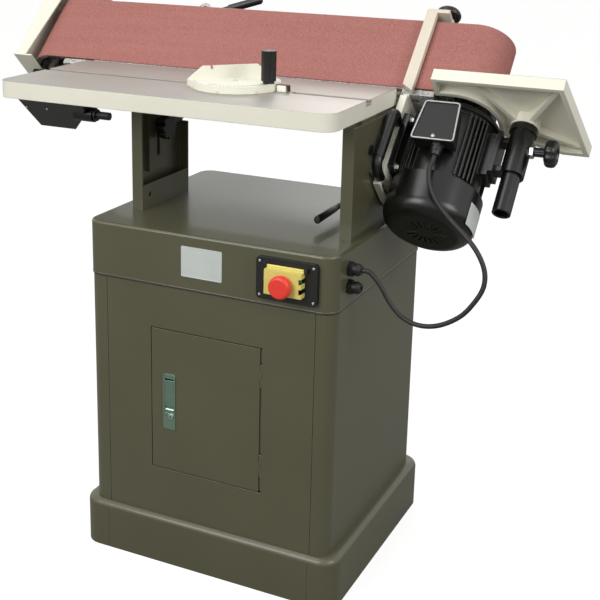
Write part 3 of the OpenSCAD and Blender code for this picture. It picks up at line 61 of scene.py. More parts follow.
# %% [markdown]
# ## Camera
# A product photo is taken from standing height with a longish lens. The lens, the height and the turn
# below were worked out from the straight edges of the cabinet. The lens shift stands for the crop of the
# photograph. It keeps the upright edges in the same perspective, which turning the camera to the middle
# of the picture would not.

# %% Place the camera
FRAME_PX, SENSOR_MM = 600, 36
focal_px, centre_x_px, centre_y_px = 1182.0, 250.63, 209.14
yaw, pitch, roll = 0.4613, 0.26902, 0.01288
look = Euler((pi / 2 - pitch, 0, yaw)).to_matrix() @ Matrix.Rotation(roll, 3, "Z")
bpy.ops.object.camera_add(location=(0.9078, -1.8720, 1.2007), rotation=look.to_euler())
camera = bpy.context.object
camera.data.sensor_width = SENSOR_MM
camera.data.lens = SENSOR_MM * focal_px / FRAME_PX
camera.data.shift_x = (FRAME_PX / 2 - centre_x_px) / FRAME_PX
camera.data.shift_y = -(FRAME_PX / 2 - centre_y_px) / FRAME_PX
bpy.context.scene.camera = camera
bpy.context.scene.view_settings.view_transform = "Standard"
print("lens", round(camera.data.lens, 2), "mm")

# %% [markdown]
# ## The head's own directions
# The sanding head is photographed half way between flat and upright, so its pieces lie along turned axes.
# This helper takes a place in the head, in millimetres, to a place in the frame: x runs along the belt, y
# goes back from it and z runs up its width.

# %% Helpers for places in millimetres
TILT = Matrix.Rotation(radians(-45), 3, "X")
PIVOT = Vector((0, 0.114, 0.836))
TO_HEAD = Matrix.Translation(PIVOT) @ TILT.to_4x4()
HEAD_BACK = TILT @ Vector((0, 1, 0))
HEAD_UP = TILT @ Vector((0, 0, 1))


def on_head(x, y, z):
    return PIVOT + TILT @ (Vector((x, y, z)) / 1000)


def mm(x, y, z):
    return Vector((x, y, z)) / 1000


print("belt's middle at", [round(v, 3) for v in on_head(-102, -21, 83)])

# %% [markdown]
# ## Motor lead
# The motor is fed by a round rubber lead of about 8 mm. It leaves the gland on the box, hangs in a loop
# and rises to the gland under the terminal box. A cord could be simulated, but a smooth curve through a
# few measured places is exact and quick. The curve gets a round section and becomes a mesh.

# %% Route of the lead
lead_places = [
    mm(247, -158, 597), mm(259, -158, 597), mm(265, -158, 597), mm(274, -158, 595), mm(290, -157, 578),
    mm(308, -156, 550), mm(328, -156, 530), mm(352, -157, 521), mm(378, -158, 522), mm(404, -159, 532),
    mm(430, -159, 551), mm(449, -157, 577), mm(459, -153, 600), mm(458, -149, 624), mm(446, -145, 648),
    mm(424, -134, 668), mm(384, -108, 690), mm(354, -84, 709), mm(335, -63, 729), mm(327, -45, 749),
    on_head(327, -48, -153), on_head(327, -48, -143), on_head(327, -48, -131)]


def smooth_route(places, steps):
    # Each stretch is a cubic through its two ends, with slopes taken from their neighbours.
    route = []
    for i in range(len(places) - 1):
        a, b, c, d = (places[max(0, min(len(places) - 1, i + k))] for k in (-1, 0, 1, 2))
        for k in range(steps):
            t = k / steps
            route.append(0.5 * (2 * b + (c - a) * t + (2 * a - 5 * b + 4 * c - d) * t ** 2
                                + (3 * b - a - 3 * c + d) * t ** 3))
    return route + [places[-1]]


lead_route = smooth_route(lead_places, steps=6)

# %% Lead as a round tube
lead_radius = 0.004
lead_curve = bpy.data.curves.new("motor_lead", "CURVE")
lead_curve.dimensions = "3D"
spline = lead_curve.splines.new("POLY")
spline.points.add(len(lead_route) - 1)
for point, place in zip(spline.points, lead_route):
    point.co = (*place, 1)
lead_curve.bevel_depth = lead_radius
lead_curve.bevel_resolution = 5
lead_curve.use_fill_caps = True
motor_lead = bpy.data.objects.new("motor_lead", lead_curve)
bpy.context.collection.objects.link(motor_lead)
bpy.context.view_layer.objects.active = motor_lead
motor_lead.select_set(True)
bpy.ops.object.convert(target="MESH")
bpy.ops.object.shade_smooth()
motor_lead.select_set(False)
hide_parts("motor_cable")
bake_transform(motor_lead)
print("motor lead", len(motor_lead.data.polygons), "faces")

# %% [markdown]
# ## Colours and nodes
# Colours are written as the hex values of a paint chart, but shaders count in linear light, so one
# function turns the one into the other. A second one adds a node, sets it and links it in one line. Nodes
# could also be added by hand in the shader editor, but written out they can be read and repeated.

# %% Helpers for colours and nodes
def linear(code):
    parts = [int(code[i:i + 2], 16) / 255 for i in (1, 3, 5)]
    return tuple(c / 12.92 if c <= 0.04045 else ((c + 0.055) / 1.055) ** 2.4 for c in parts) + (1,)


def add(tree, kind, inputs=None, **settings):
    node = tree.nodes.new(kind)
    for name, value in settings.items():
        setattr(node, name, value)
    for name, value in (inputs or {}).items():
        if isinstance(value, bpy.types.NodeSocket):
            tree.links.new(value, node.inputs[name])
        else:
            node.inputs[name].default_value = value
    return node


# A colour Mix node takes its two colours at these inputs and gives the blend at this output.
MIX_A, MIX_B, MIX_OUT = 6, 7, 2
OLIVE = "#5A5944"
print("olive in linear light:", [round(c, 3) for c in linear(OLIVE)])

# %% [markdown]
# ## Floor and light
# The machine stands on a white, almost shadowless ground. The floor is a plain pale sheet. For the camera
# it glows softly, so that it looks white without more light on the machine, and the rest of its
# brightness is real light that still takes the shadow. Paint and metal mirror the white room, but only a
# tenth of the floor's glow, because a studio floor is darker than it looks in the picture, and the whole
# of it would turn the black pieces grey. What lights the machine is a dimmer room, pale overhead and dark
# at the horizon, and four soft lamps: a key lamp in front, one at the motor's side, one above, and one
# behind that gives the ground table its sheen.

# %% Share of a surface's glow that is seen
def seen_share(tree, gloss):
    path = add(tree, "ShaderNodeLightPath").outputs
    mirrored = add(tree, "ShaderNodeMath", {0: path["Is Glossy Ray"], 1: gloss,
                                            2: path["Is Transmission Ray"]}, operation="MULTIPLY_ADD")
    seen = add(tree, "ShaderNodeMath", {0: path["Is Camera Ray"], 1: mirrored.outputs[0]},
               operation="MAXIMUM")
    return seen.outputs[0]


FLOOR_GLOSS, ROOM_GLOSS = 0.1, 1.0
print("gloss mirrors", ROOM_GLOSS, "of the room and", FLOOR_GLOSS, "of the floor's glow")

# %% Floor sheet
bpy.ops.mesh.primitive_plane_add(size=30, location=(0, 0, -0.0005))
floor = bpy.context.object
floor.name = "floor_sheet"
bpy.ops.object.transform_apply(location=True, rotation=True, scale=True)
floor_paper = bpy.data.materials.new("white_paper_floor")
floor_paper.use_nodes = True
tree = floor_paper.node_tree
tree.nodes.clear()
lit = add(tree, "ShaderNodeBsdfDiffuse", {"Color": linear("#8C8C8A")})
bounce = add(tree, "ShaderNodeBsdfDiffuse", {"Color": linear("#807F7A")})
glow = add(tree, "ShaderNodeEmission", {"Color": (1, 1, 1, 1), "Strength": 0.84})
white = add(tree, "ShaderNodeAddShader", {0: lit.outputs[0], 1: glow.outputs[0]})
sheet = add(tree, "ShaderNodeMixShader", {0: seen_share(tree, FLOOR_GLOSS), 1: bounce.outputs[0],
                                          2: white.outputs[0]})
add(tree, "ShaderNodeOutputMaterial", {"Surface": sheet.outputs[0]})
floor.data.materials.append(floor_paper)
bpy.ops.object.select_all(action="DESELECT")
print("floor", round(floor.dimensions.x), "m wide")

# %% White room
ROOM_LOW, ROOM_HIGH = 0.30, 0.65
world = bpy.context.scene.world or bpy.data.worlds.new("studio")
bpy.context.scene.world = world
world.use_nodes = True
tree = world.node_tree
tree.nodes.clear()
toward = add(tree, "ShaderNodeTexCoord").outputs["Generated"]
height = add(tree, "ShaderNodeSeparateXYZ", {"Vector": toward}).outputs["Z"]
room = add(tree, "ShaderNodeMapRange", {"Value": height, "From Min": 0.0, "From Max": 0.8,
                                        "To Min": ROOM_LOW, "To Max": ROOM_HIGH})
strength = add(tree, "ShaderNodeMix", {"Factor": seen_share(tree, ROOM_GLOSS), "A": room.outputs[0],
                                       "B": 1.0})
sky = add(tree, "ShaderNodeBackground", {"Color": (1, 1, 1, 1), "Strength": strength.outputs[0]})
add(tree, "ShaderNodeOutputWorld", {"Surface": sky.outputs[0]})
print("room from", ROOM_LOW, "at the horizon to", ROOM_HIGH, "overhead")

# %% Soft lamps
# Each row has a name, a place, the place it faces, its width in metres and its power in watts.
lamps = (("key_lamp", (-1.0, -3.0, 2.3), (0, 0, 0.8), 1.8, 61),
         ("side_lamp", (2.75, -0.9, 2.1), (0.2, 0, 0.8), 1.3, 31),
         ("top_lamp", (-0.75, -0.75, 3.1), (0.2, 0, 0.8), 1.1, 11),
         ("back_lamp", (-0.3, 1.5, 1.7), (0.1, -0.1, 0.857), 0.7, 6))
for name, place, target, size, power in lamps:
    bpy.ops.object.light_add(type="AREA", location=place)
    lamp = bpy.context.object
    lamp.name = name
    lamp.data.size = size
    lamp.data.energy = power
    lamp.rotation_euler = (Vector(target) - Vector(place)).to_track_quat("-Z", "Y").to_euler()
    print(name, power, "W")
bpy.ops.object.select_all(action="DESELECT")

# %% [markdown]
# ## Sprayed enamel
# The cabinet, columns and guards are bent sheet steel and castings with a stoved enamel: olive on the
# stand, cream on the working parts, black on the motor. Sprayed paint isn't flat like glass. It dries
# with a fine orange peel of two or three millimetres, drifts a little in tone over a hand's breadth and
# is slightly rounded and thinner at every edge. Every edge is painted paler, partly for the thinner
# paint and partly as a painted highlight. The edges could be bevelled, but the bevel node gives that
# soft edge without touching the CAD mesh.

# %% Sprayed enamel
DRIFT_MM = 160
# Share of the paler edge colour: thinner paint and a painted edge highlight.
EDGE_THIN_AND_HIGHLIGHT = 0.55


def start(name):
    material = bpy.data.materials.new(name)
    material.use_nodes = True
    tree = material.node_tree
    shader = tree.nodes["Principled BSDF"]
    place = add(tree, "ShaderNodeTexCoord").outputs["Object"]
    return material, tree, shader, place


def sprayed_enamel(name, paint, deep, thin_and_lit, peel_mm, rough, edge_mm=1.5, coat=0.0):
    material, tree, shader, place = start(name)
    drift = add(tree, "ShaderNodeTexNoise", {"Vector": place, "Scale": 1000 / DRIFT_MM, "Detail": 3})
    drift = drift.outputs["Fac"]
    tone = add(tree, "ShaderNodeMix", {"Factor": drift, MIX_A: linear(deep), MIX_B: linear(paint)},
               data_type="RGBA")
    # Near an edge the rounded normal leaves the real one, and there the paler edge colour shows: thinner
    # paint and a painted highlight.
    soft = add(tree, "ShaderNodeBevel", {"Radius": edge_mm / 1000}, samples=4).outputs[0]
    real = add(tree, "ShaderNodeNewGeometry").outputs["Normal"]
    agree = add(tree, "ShaderNodeVectorMath", {0: soft, 1: real}, operation="DOT_PRODUCT")
    edge = add(tree, "ShaderNodeMapRange", {"Value": agree.outputs["Value"], "From Min": 0.99,
                                            "From Max": 0.80, "To Max": EDGE_THIN_AND_HIGHLIGHT})
    colour = add(tree, "ShaderNodeMix", {"Factor": edge.outputs[0], MIX_A: tone.outputs[MIX_OUT],
                                         MIX_B: linear(thin_and_lit)}, data_type="RGBA")
    peel = add(tree, "ShaderNodeTexNoise", {"Vector": place, "Scale": 1000 / peel_mm, "Detail": 1.5})
    skin = add(tree, "ShaderNodeBump", {"Height": peel.outputs["Fac"], "Normal": soft, "Strength": 0.12,
                                        "Distance": 0.0004})
    gloss = add(tree, "ShaderNodeMapRange", {"Value": drift, "To Min": rough - 0.05, "To Max": rough + 0.05})
    tree.links.new(colour.outputs[MIX_OUT], shader.inputs["Base Color"])
    tree.links.new(gloss.outputs[0], shader.inputs["Roughness"])
    tree.links.new(skin.outputs[0], shader.inputs["Normal"])
    shader.inputs["Coat Weight"].default_value = coat
    shader.inputs["Coat Roughness"].default_value = 0.06
    return material


print("enamel's tone drifts over", DRIFT_MM, "mm")

# %% The six enamels
# Olive has a clear top layer, so that the flat top of the box mirrors a little of what stands over it.
olive_enamel = sprayed_enamel("olive_stoved_enamel", OLIVE, "#51503B", "#85816C", 3, 0.36, coat=0.22)
# Cream is pale and slightly yellow. The work stop's cream is darker and warmer: painted shade that holds
# back the lamp light on its face.
cream_enamel = sprayed_enamel("cream_stoved_enamel", "#F1EFE0", "#EAE8D6", "#F8F6EC", 3, 0.36)
shaded_arm_enamel = sprayed_enamel("shaded_cream_enamel", "#E0D6C4", "#D8CDBA", "#EAE2D4", 3, 0.36)
# The blacks are glossy on tubes and covers and dull on the cast lid. The motor's very pale edge colour is a
# painted highlight on the fin tips.
black_enamel = sprayed_enamel("black_stoved_enamel", "#10100F", "#0B0B0A", "#262523", 2.5, 0.28)
lid_enamel = sprayed_enamel("satin_black_enamel", "#10100F", "#0B0B0A", "#262523", 2.5, 0.56)
motor_enamel = sprayed_enamel("black_motor_enamel", "#161615", "#10100F", "#A0A19B", 2.5, 0.30, edge_mm=1.3)
print("enamels:", olive_enamel.name, cream_enamel.name, shaded_arm_enamel.name)
print("black enamels:", black_enamel.name, lid_enamel.name, motor_enamel.name)

# %% [markdown]
# ## Ground and rough cast iron
# The table is a casting. Its top was ground flat, which leaves fine straight lines along the pass of the
# wheel and a dull silver sheen, while its rim is painted. Two materials could share the casting, but one
# does both: it reads the height above the casting and changes from paint to bare iron there, and in the
# milled slot too. The sanding head's bed is left as cast, with a pale, sandy grain. Grinding lines and
# sand are finer than a millimetre in truth, and are drawn a few times coarser so that they show.

# %% Ground iron over painted rims
GRIND_MM, CLOUD_MM, SLOT_DEPTH_MM = 2.5, 90, 9.6


def ground_casting(name, up, level_mm, along, slot_mm=(0, 0)):
    # slot_mm is the middle and the half width of a milled slot, across the casting.
    material, tree, shader, place = start(name)
    # The mask is one on the top and in the slot, and zero on the painted rim.
    height = add(tree, "ShaderNodeVectorMath", {0: place, 1: up}, operation="DOT_PRODUCT").outputs["Value"]
    top = add(tree, "ShaderNodeMath", {0: height, 1: level_mm / 1000}, operation="GREATER_THAN")
    across = add(tree, "ShaderNodeSeparateXYZ", {"Vector": place}).outputs["Y"]
    slot = add(tree, "ShaderNodeMath", {0: across, 1: slot_mm[0] / 1000, 2: slot_mm[1] / 1000},
               operation="COMPARE")
    deep = add(tree, "ShaderNodeMath", {0: height, 1: (level_mm - SLOT_DEPTH_MM) / 1000},
               operation="GREATER_THAN")
    milled = add(tree, "ShaderNodeMath", {0: slot.outputs[0], 1: deep.outputs[0]}, operation="MULTIPLY")
    ground = add(tree, "ShaderNodeMath", {0: top.outputs[0], 1: milled.outputs[0]}, operation="MAXIMUM")
    ground = ground.outputs[0]
    # Noise drawn out along the wheel's pass gives the lines, and a broad one clouds iron and paint.
    lines = add(tree, "ShaderNodeMapping", {"Vector": place, "Scale": along})
    grind = add(tree, "ShaderNodeTexNoise", {"Vector": lines.outputs[0], "Scale": 1000 / GRIND_MM,
                                             "Detail": 3})
    grind = grind.outputs["Fac"]
    cloud = add(tree, "ShaderNodeTexNoise", {"Vector": place, "Scale": 1000 / CLOUD_MM, "Detail": 4})
    cloud = cloud.outputs["Fac"]
    iron = add(tree, "ShaderNodeMix", {"Factor": cloud, MIX_A: linear("#948F88"), MIX_B: linear("#A9A49D")},
               data_type="RGBA")
    iron = add(tree, "ShaderNodeMix", {"Factor": grind, MIX_A: iron.outputs[MIX_OUT],
                                       MIX_B: linear("#BAB6AF")}, data_type="RGBA")
    paint = add(tree, "ShaderNodeMix", {"Factor": cloud, MIX_A: linear("#E9E6D4"), MIX_B: linear("#F0EEDF")},
                data_type="RGBA")
    colour = add(tree, "ShaderNodeMix", {"Factor": ground, MIX_A: paint.outputs[MIX_OUT],
                                         MIX_B: iron.outputs[MIX_OUT]}, data_type="RGBA")
    metal = add(tree, "ShaderNodeMath", {0: ground, 1: 0.75}, operation="MULTIPLY")
    dull = add(tree, "ShaderNodeMapRange", {"Value": grind, "To Min": 0.40, "To Max": 0.55})
    rough = add(tree, "ShaderNodeMix", {"Factor": ground, "A": 0.38, "B": dull.outputs[0]})
    soft = add(tree, "ShaderNodeBevel", {"Radius": 0.002}, samples=4)
    skin = add(tree, "ShaderNodeBump", {"Height": grind, "Normal": soft.outputs[0], "Strength": 0.06,
                                        "Distance": 0.0003})
    tree.links.new(colour.outputs[MIX_OUT], shader.inputs["Base Color"])
    tree.links.new(metal.outputs[0], shader.inputs["Metallic"])
    tree.links.new(rough.outputs[0], shader.inputs["Roughness"])
    tree.links.new(skin.outputs[0], shader.inputs["Normal"])
    return material


stretch = 1 / 60
table_level, end_rise = 856.4, 13.6
table_iron = ground_casting("ground_iron_table", (0, 0, 1), table_level, (stretch, 1, 1), slot_mm=(-51, 12))
end_level = HEAD_UP.dot(PIVOT) * 1000 + end_rise
end_iron = ground_casting("ground_iron_end_table", HEAD_UP, end_level, (1, stretch, stretch))
print("ground above", table_level, "and", round(end_level, 1), "mm")

# %% As-cast iron of the head's bed
SAND_MM = 3
bed_iron, tree, shader, place = start("as_cast_iron")
sand = add(tree, "ShaderNodeTexNoise", {"Vector": place, "Scale": 1000 / SAND_MM, "Detail": 4,
                                        "Roughness": 0.7}).outputs["Fac"]
grain = add(tree, "ShaderNodeValToRGB", {"Fac": sand})
for stop, (position, shade) in zip(grain.color_ramp.elements, ((0.38, "#7F7E7A"), (0.58, "#CFCDC8"))):
    stop.position = position
    stop.color = linear(shade)
soft = add(tree, "ShaderNodeBevel", {"Radius": 0.0015}, samples=4)
skin = add(tree, "ShaderNodeBump", {"Height": sand, "Normal": soft.outputs[0], "Strength": 0.4,
                                    "Distance": 0.0006})
tree.links.new(grain.outputs["Color"], shader.inputs["Base Color"])
tree.links.new(skin.outputs[0], shader.inputs["Normal"])
shader.inputs["Metallic"].default_value = 0.3
shader.inputs["Roughness"].default_value = 0.6
print(bed_iron.name, "with a grain of", SAND_MM, "mm")

# %% [markdown]
# ## Abrasive belt
# The belt is cloth with aluminium oxide grit, a dusty red-brown. The grit is a fraction of a millimetre,
# too fine for this picture, so it is drawn a few times coarser. Use leaves faint streaks along the belt,
# made here by stretching one noise along x.

# %% Abrasive cloth
GRIT_MM, STREAK_MM, STREAK_LENGTHS = 1.6, 18, 14
abrasive, tree, shader, place = start("aluminium_oxide_cloth")
grit = add(tree, "ShaderNodeTexNoise", {"Vector": place, "Scale": 1000 / GRIT_MM, "Detail": 3,
                                        "Roughness": 0.75}).outputs["Fac"]
grains = add(tree, "ShaderNodeValToRGB", {"Fac": grit})
for stop, (position, shade) in zip(grains.color_ramp.elements, ((0.34, "#874D47"), (0.66, "#BD857C"))):
    stop.position = position
    stop.color = linear(shade)
drawn_out = add(tree, "ShaderNodeMapping", {"Vector": place, "Scale": (1 / STREAK_LENGTHS, 1, 1)})
streak = add(tree, "ShaderNodeTexNoise", {"Vector": drawn_out.outputs[0], "Scale": 1000 / STREAK_MM,
                                          "Detail": 3})
worn = add(tree, "ShaderNodeMapRange", {"Value": streak.outputs["Fac"], "From Min": 0.35, "From Max": 0.75,
                                        "To Max": 0.35})
colour = add(tree, "ShaderNodeMix", {"Factor": worn.outputs[0], MIX_A: grains.outputs["Color"],
                                     MIX_B: linear("#B27A72")}, data_type="RGBA")
tooth = add(tree, "ShaderNodeBump", {"Height": grit, "Strength": 0.5, "Distance": 0.0006})
tree.links.new(colour.outputs[MIX_OUT], shader.inputs["Base Color"])
tree.links.new(tooth.outputs[0], shader.inputs["Normal"])
shader.inputs["Roughness"].default_value = 0.9
shader.inputs["Specular IOR Level"].default_value = 0.25
print(abrasive.name, "with a grit of", GRIT_MM, "mm")

# %% [markdown]
# ## Moulded plastics and rubber
# Knobs and grips are phenolic, a hard glossy black moulding. The switch is ABS: black case, yellow flap,
# red and green buttons. Mouldings have an even texture and soft edges. The texture is a tenth of a
# millimetre in truth and is drawn coarser to show. The lead's rubber is duller, and it is marked by
# handling.

# %% Plastic and rubber finishes
def moulded(name, resin, shade, texture_mm, rough, edge_mm=0.8):
    material, tree, shader, place = start(name)
    fleck = add(tree, "ShaderNodeTexNoise", {"Vector": place, "Scale": 1000 / texture_mm, "Detail": 2})
    fleck = fleck.outputs["Fac"]
    colour = add(tree, "ShaderNodeMix", {"Factor": fleck, MIX_A: linear(shade), MIX_B: linear(resin)},
                 data_type="RGBA")
    soft = add(tree, "ShaderNodeBevel", {"Radius": edge_mm / 1000}, samples=4)
    skin = add(tree, "ShaderNodeBump", {"Height": fleck, "Normal": soft.outputs[0], "Strength": 0.1,
                                        "Distance": 0.0003})
    gloss = add(tree, "ShaderNodeMapRange", {"Value": fleck, "To Min": rough - 0.06, "To Max": rough + 0.06})
    tree.links.new(colour.outputs[MIX_OUT], shader.inputs["Base Color"])
    tree.links.new(gloss.outputs[0], shader.inputs["Roughness"])
    tree.links.new(skin.outputs[0], shader.inputs["Normal"])
    return material


black_phenolic = moulded("black_phenolic", "#151514", "#0F0F0E", 2, 0.32)
black_abs = moulded("black_abs", "#141516", "#0E0F10", 1.5, 0.42)
yellow_abs = moulded("yellow_abs", "#E6D87C", "#DECE6E", 1.5, 0.40)
red_abs = moulded("red_abs", "#F74838", "#EA3A2E", 1.5, 0.35, edge_mm=1.5)
green_abs = moulded("green_abs", "#3F9E58", "#348A4B", 1.5, 0.35)
lead_rubber = moulded("black_lead_rubber", "#24211F", "#1A1817", 4, 0.55)
print("mouldings:", black_phenolic.name, black_abs.name, yellow_abs.name, red_abs.name, green_abs.name)

# %% [markdown]
# ## Plated and bright metal
# Screws are zinc plated, with a cloudy, bluish white. The latch is polished chrome plate over a die
# casting, and its faint cool green is a painted reflection of its surroundings. Shafts and the gauge's
# bar are bright turned or drawn steel, a little cloudy from handling.

# %% Metal finishes
def bare_metal(name, bright, cloudy, cloud_mm, rough, spread, metallic=1):
    material, tree, shader, place = start(name)
    cloud = add(tree, "ShaderNodeTexNoise", {"Vector": place, "Scale": 1000 / cloud_mm, "Detail": 4})
    cloud = cloud.outputs["Fac"]
    colour = add(tree, "ShaderNodeMix", {"Factor": cloud, MIX_A: linear(cloudy), MIX_B: linear(bright)},
                 data_type="RGBA")
    gloss = add(tree, "ShaderNodeMapRange", {"Value": cloud, "To Min": rough - spread,
                                             "To Max": rough + spread})
    soft = add(tree, "ShaderNodeBevel", {"Radius": 0.0006}, samples=4)
    tree.links.new(colour.outputs[MIX_OUT], shader.inputs["Base Color"])
    tree.links.new(gloss.outputs[0], shader.inputs["Roughness"])
    tree.links.new(soft.outputs[0], shader.inputs["Normal"])
    shader.inputs["Metallic"].default_value = metallic
    return material


zinc_plate = bare_metal("zinc_plate", "#C9CAC6", "#AEB0AE", 6, 0.36, 0.08)
# The chrome's green tint is a painted reflection of its surroundings.
chrome_plate = bare_metal("chrome_plate", "#9DBBA9", "#8AA897", 30, 0.22, 0.05)
bright_steel = bare_metal("bright_steel", "#C6C4C0", "#B0AEAB", 12, 0.28, 0.06)
print("metals:", zinc_plate.name, chrome_plate.name, bright_steel.name)

# %% [markdown]
# ## Finish every solid
# Each solid of the frame gets the finish of the real piece. A material could be set on each object in
# turn, but one table of names is easy to read and to change.

# %% Finishes by solid
finishes = {
    olive_enamel: ("plinth cabinet_shell front_panel door top_box left_column right_column left_table_leg "
                   "right_table_leg lock_bracket left_pivot_bracket right_pivot_bracket"),
    cream_enamel: "dust_hood rear_guard motor_plate mitre_head",
    shaded_arm_enamel: "stop_arm",
    table_iron: "table_top",
    end_iron: "end_table",
    bed_iron: "head_base platen",
    abrasive: "sanding_belt",
    black_enamel: ("tracking_box motor_end_bell fan_cover post_bracket end_table_post cooling_fan "
                   "idler_carriage tilt_lock_lever"),
    motor_enamel: "motor_body",
    lid_enamel: "terminal_box",
    black_phenolic: ("left_clamp_knob right_clamp_knob mitre_handle tracking_knob tension_lever stop_knob "
                     "tilt_handle post_lock_knob"),
    black_abs: "switch_housing motor_lead_gland mains_gland terminal_gland",
    yellow_abs: "switch_flap",
    red_abs: "stop_button",
    green_abs: "start_button",
    chrome_plate: "latch_housing latch_paddle",
    zinc_plate: "door_hinge_pins tilt_lock_stud",
    bright_steel: "tilt_shaft mitre_bar drive_drum motor_shaft idler_shaft idler_drum idler_bearings",
    lead_rubber: "motor_cable",
}
finished = set()
for finish, names in finishes.items():
    for name in names.split():
        nodes[name].data.materials.clear()
        nodes[name].data.materials.append(finish)
        finished.add(name)
motor_lead.data.materials.append(lead_rubber)
print("finished", len(finished), "solids, left", sorted(set(nodes) - finished))

# %% [markdown]
# ## Working by hand in code
# The next pieces start from a primitive and are shaped in edit mode, as in the viewport. An operator
# works on what is selected, so one helper picks points, edges or faces by where they are. The others do
# what every piece needs: begin and leave edit mode, give a sheet its thickness, settle a piece on its
# body, and copy a finished screw to each of its places.

# %% Helpers for modelling
def choose(kind, test):
    bpy.ops.mesh.select_mode(type=kind)
    bpy.ops.mesh.select_all(action="DESELECT")
    grid = bmesh.from_edit_mesh(bpy.context.object.data)
    for item in {"VERT": grid.verts, "EDGE": grid.edges, "FACE": grid.faces}[kind]:
        middle = item.co if kind == "VERT" else sum((v.co for v in item.verts), Vector()) / len(item.verts)
        if test(item, middle):
            item.select_set(True)
    grid.select_flush_mode()
    bmesh.update_edit_mesh(bpy.context.object.data)


def begin(name):
    piece = bpy.context.object
    piece.name = name
    bpy.ops.object.transform_apply(location=True, rotation=True, scale=True)
    bpy.ops.object.mode_set(mode="EDIT")
    return piece


def leave(smooth_angle=None):
    bpy.ops.object.mode_set(mode="OBJECT")
    if smooth_angle:
        bpy.ops.object.shade_smooth_by_angle(angle=radians(smooth_angle))


def thicken(piece, thickness, offset=0):
    bpy.ops.object.modifier_add(type="SOLIDIFY")
    piece.modifiers["Solidify"].thickness = thickness
    piece.modifiers["Solidify"].offset = offset
    bpy.ops.object.modifier_apply(modifier="Solidify")


print("helpers to choose, begin, leave and thicken are ready")

# %% Helpers for settling and copying
def settle(obj, finish, body):
    obj.data.materials.clear()
    obj.data.materials.append(finish)
    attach(obj, body)
    obj.select_set(False)
    return obj


def copies(master, name, spots, finish, body):
    # Each spot has a place, a direction and a radius in millimetres.
    bpy.ops.object.select_all(action="DESELECT")
    for place, facing, radius in spots:
        twin = master.copy()
        twin.data = master.data.copy()
        turn = Vector((0, 0, 1)).rotation_difference(Vector(facing)).to_matrix().to_4x4()
        twin.data.transform(Matrix.Translation(place) @ turn @ Matrix.Scale(radius / 1000, 4))
        bpy.context.collection.objects.link(twin)
        twin.select_set(True)
        bpy.context.view_layer.objects.active = twin
    bpy.ops.object.join()
    group = bpy.context.object
    group.name = name
    print(name, len(spots), "copies")
    return settle(group, finish, body)


print("helpers to settle a piece and copy a screw are ready")

# %% [markdown]
# ## Screws
# The machine has three kinds. A hexagon head has its corners turned off and sits on a washer. A socket
# head is a short cylinder with a rounded rim and a hole for the key. A pan head is a low dome with a
# cross. Each is drawn once with a radius of one and scaled where it is used. A boolean cut could make
# hole and cross, but inset and extrude give cleaner faces.

# %% Hexagon head on a washer
bpy.ops.mesh.primitive_cylinder_add(vertices=6, radius=1, depth=0.8, location=(0, 0, 0.62))
hex_head = begin("hex_head_master")
choose("EDGE", lambda edge, middle: middle.z > 1.0)
bpy.ops.mesh.bevel(offset=0.16, segments=2, profile=0.6)
choose("FACE", lambda face, middle: middle.z > 1.0 and len(face.verts) == 6)
bpy.ops.mesh.inset(thickness=0.1)
bpy.ops.transform.translate(value=(0, 0, 0.03))
bpy.ops.mesh.select_all(action="DESELECT")
bpy.ops.mesh.primitive_cylinder_add(vertices=28, radius=1.35, depth=0.24, location=(0, 0, 0.1))
choose("EDGE", lambda edge, middle: middle.z > 0.2 and edge.calc_length() < 0.5 and middle.xy.length > 1.2)
bpy.ops.mesh.bevel(offset=0.06, segments=1)
leave(smooth_angle=35)
hex_head.select_set(False)
print("hexagon head", len(hex_head.data.polygons), "faces")

# %% Socket head
bpy.ops.mesh.primitive_cylinder_add(vertices=24, radius=1, depth=1.0, location=(0, 0, 0.45))
socket_head = begin("socket_head_master")
choose("EDGE", lambda edge, middle: middle.z > 0.9)
bpy.ops.mesh.bevel(offset=0.14, segments=2)
choose("FACE", lambda face, middle: middle.z > 0.9 and len(face.verts) == 24)
bpy.ops.mesh.inset(thickness=0.34)
bpy.ops.mesh.extrude_region_move(TRANSFORM_OT_translate={"value": (0, 0, -0.5)})
leave(smooth_angle=35)
socket_head.select_set(False)
print("socket head", len(socket_head.data.polygons), "faces")

# %% Pan head with a cross
bpy.ops.mesh.primitive_uv_sphere_add(segments=24, ring_count=12, radius=1, location=(0, 0, 0))
pan_head = begin("pan_head_master")
bpy.ops.mesh.select_all(action="SELECT")
bpy.ops.mesh.bisect(plane_co=(0, 0, -0.05), plane_no=(0, 0, 1), clear_inner=True, use_fill=True)
bpy.ops.mesh.select_all(action="SELECT")
bpy.ops.transform.resize(value=(1, 1, 0.62))
choose("FACE", lambda face, middle: middle.z > 0.57 and (abs(middle.x) < 0.3 or abs(middle.y) < 0.3))
bpy.ops.mesh.inset(thickness=0.02)
bpy.ops.mesh.extrude_region_move(TRANSFORM_OT_translate={"value": (0, 0, -0.25)})
leave(smooth_angle=35)
pan_head.select_set(False)
print("pan head", len(pan_head.data.polygons), "faces")

# %% [markdown]
# ## Bare plates
# Machines carry a thin metal plate on the box and another on the motor. Here both stay bare: a satin
# aluminium sheet with rounded corners and a pressed border line. The motor's plate follows the round fan
# cover, so it is cut out of a tube instead of being bent, and the tube has just the cover's radius.

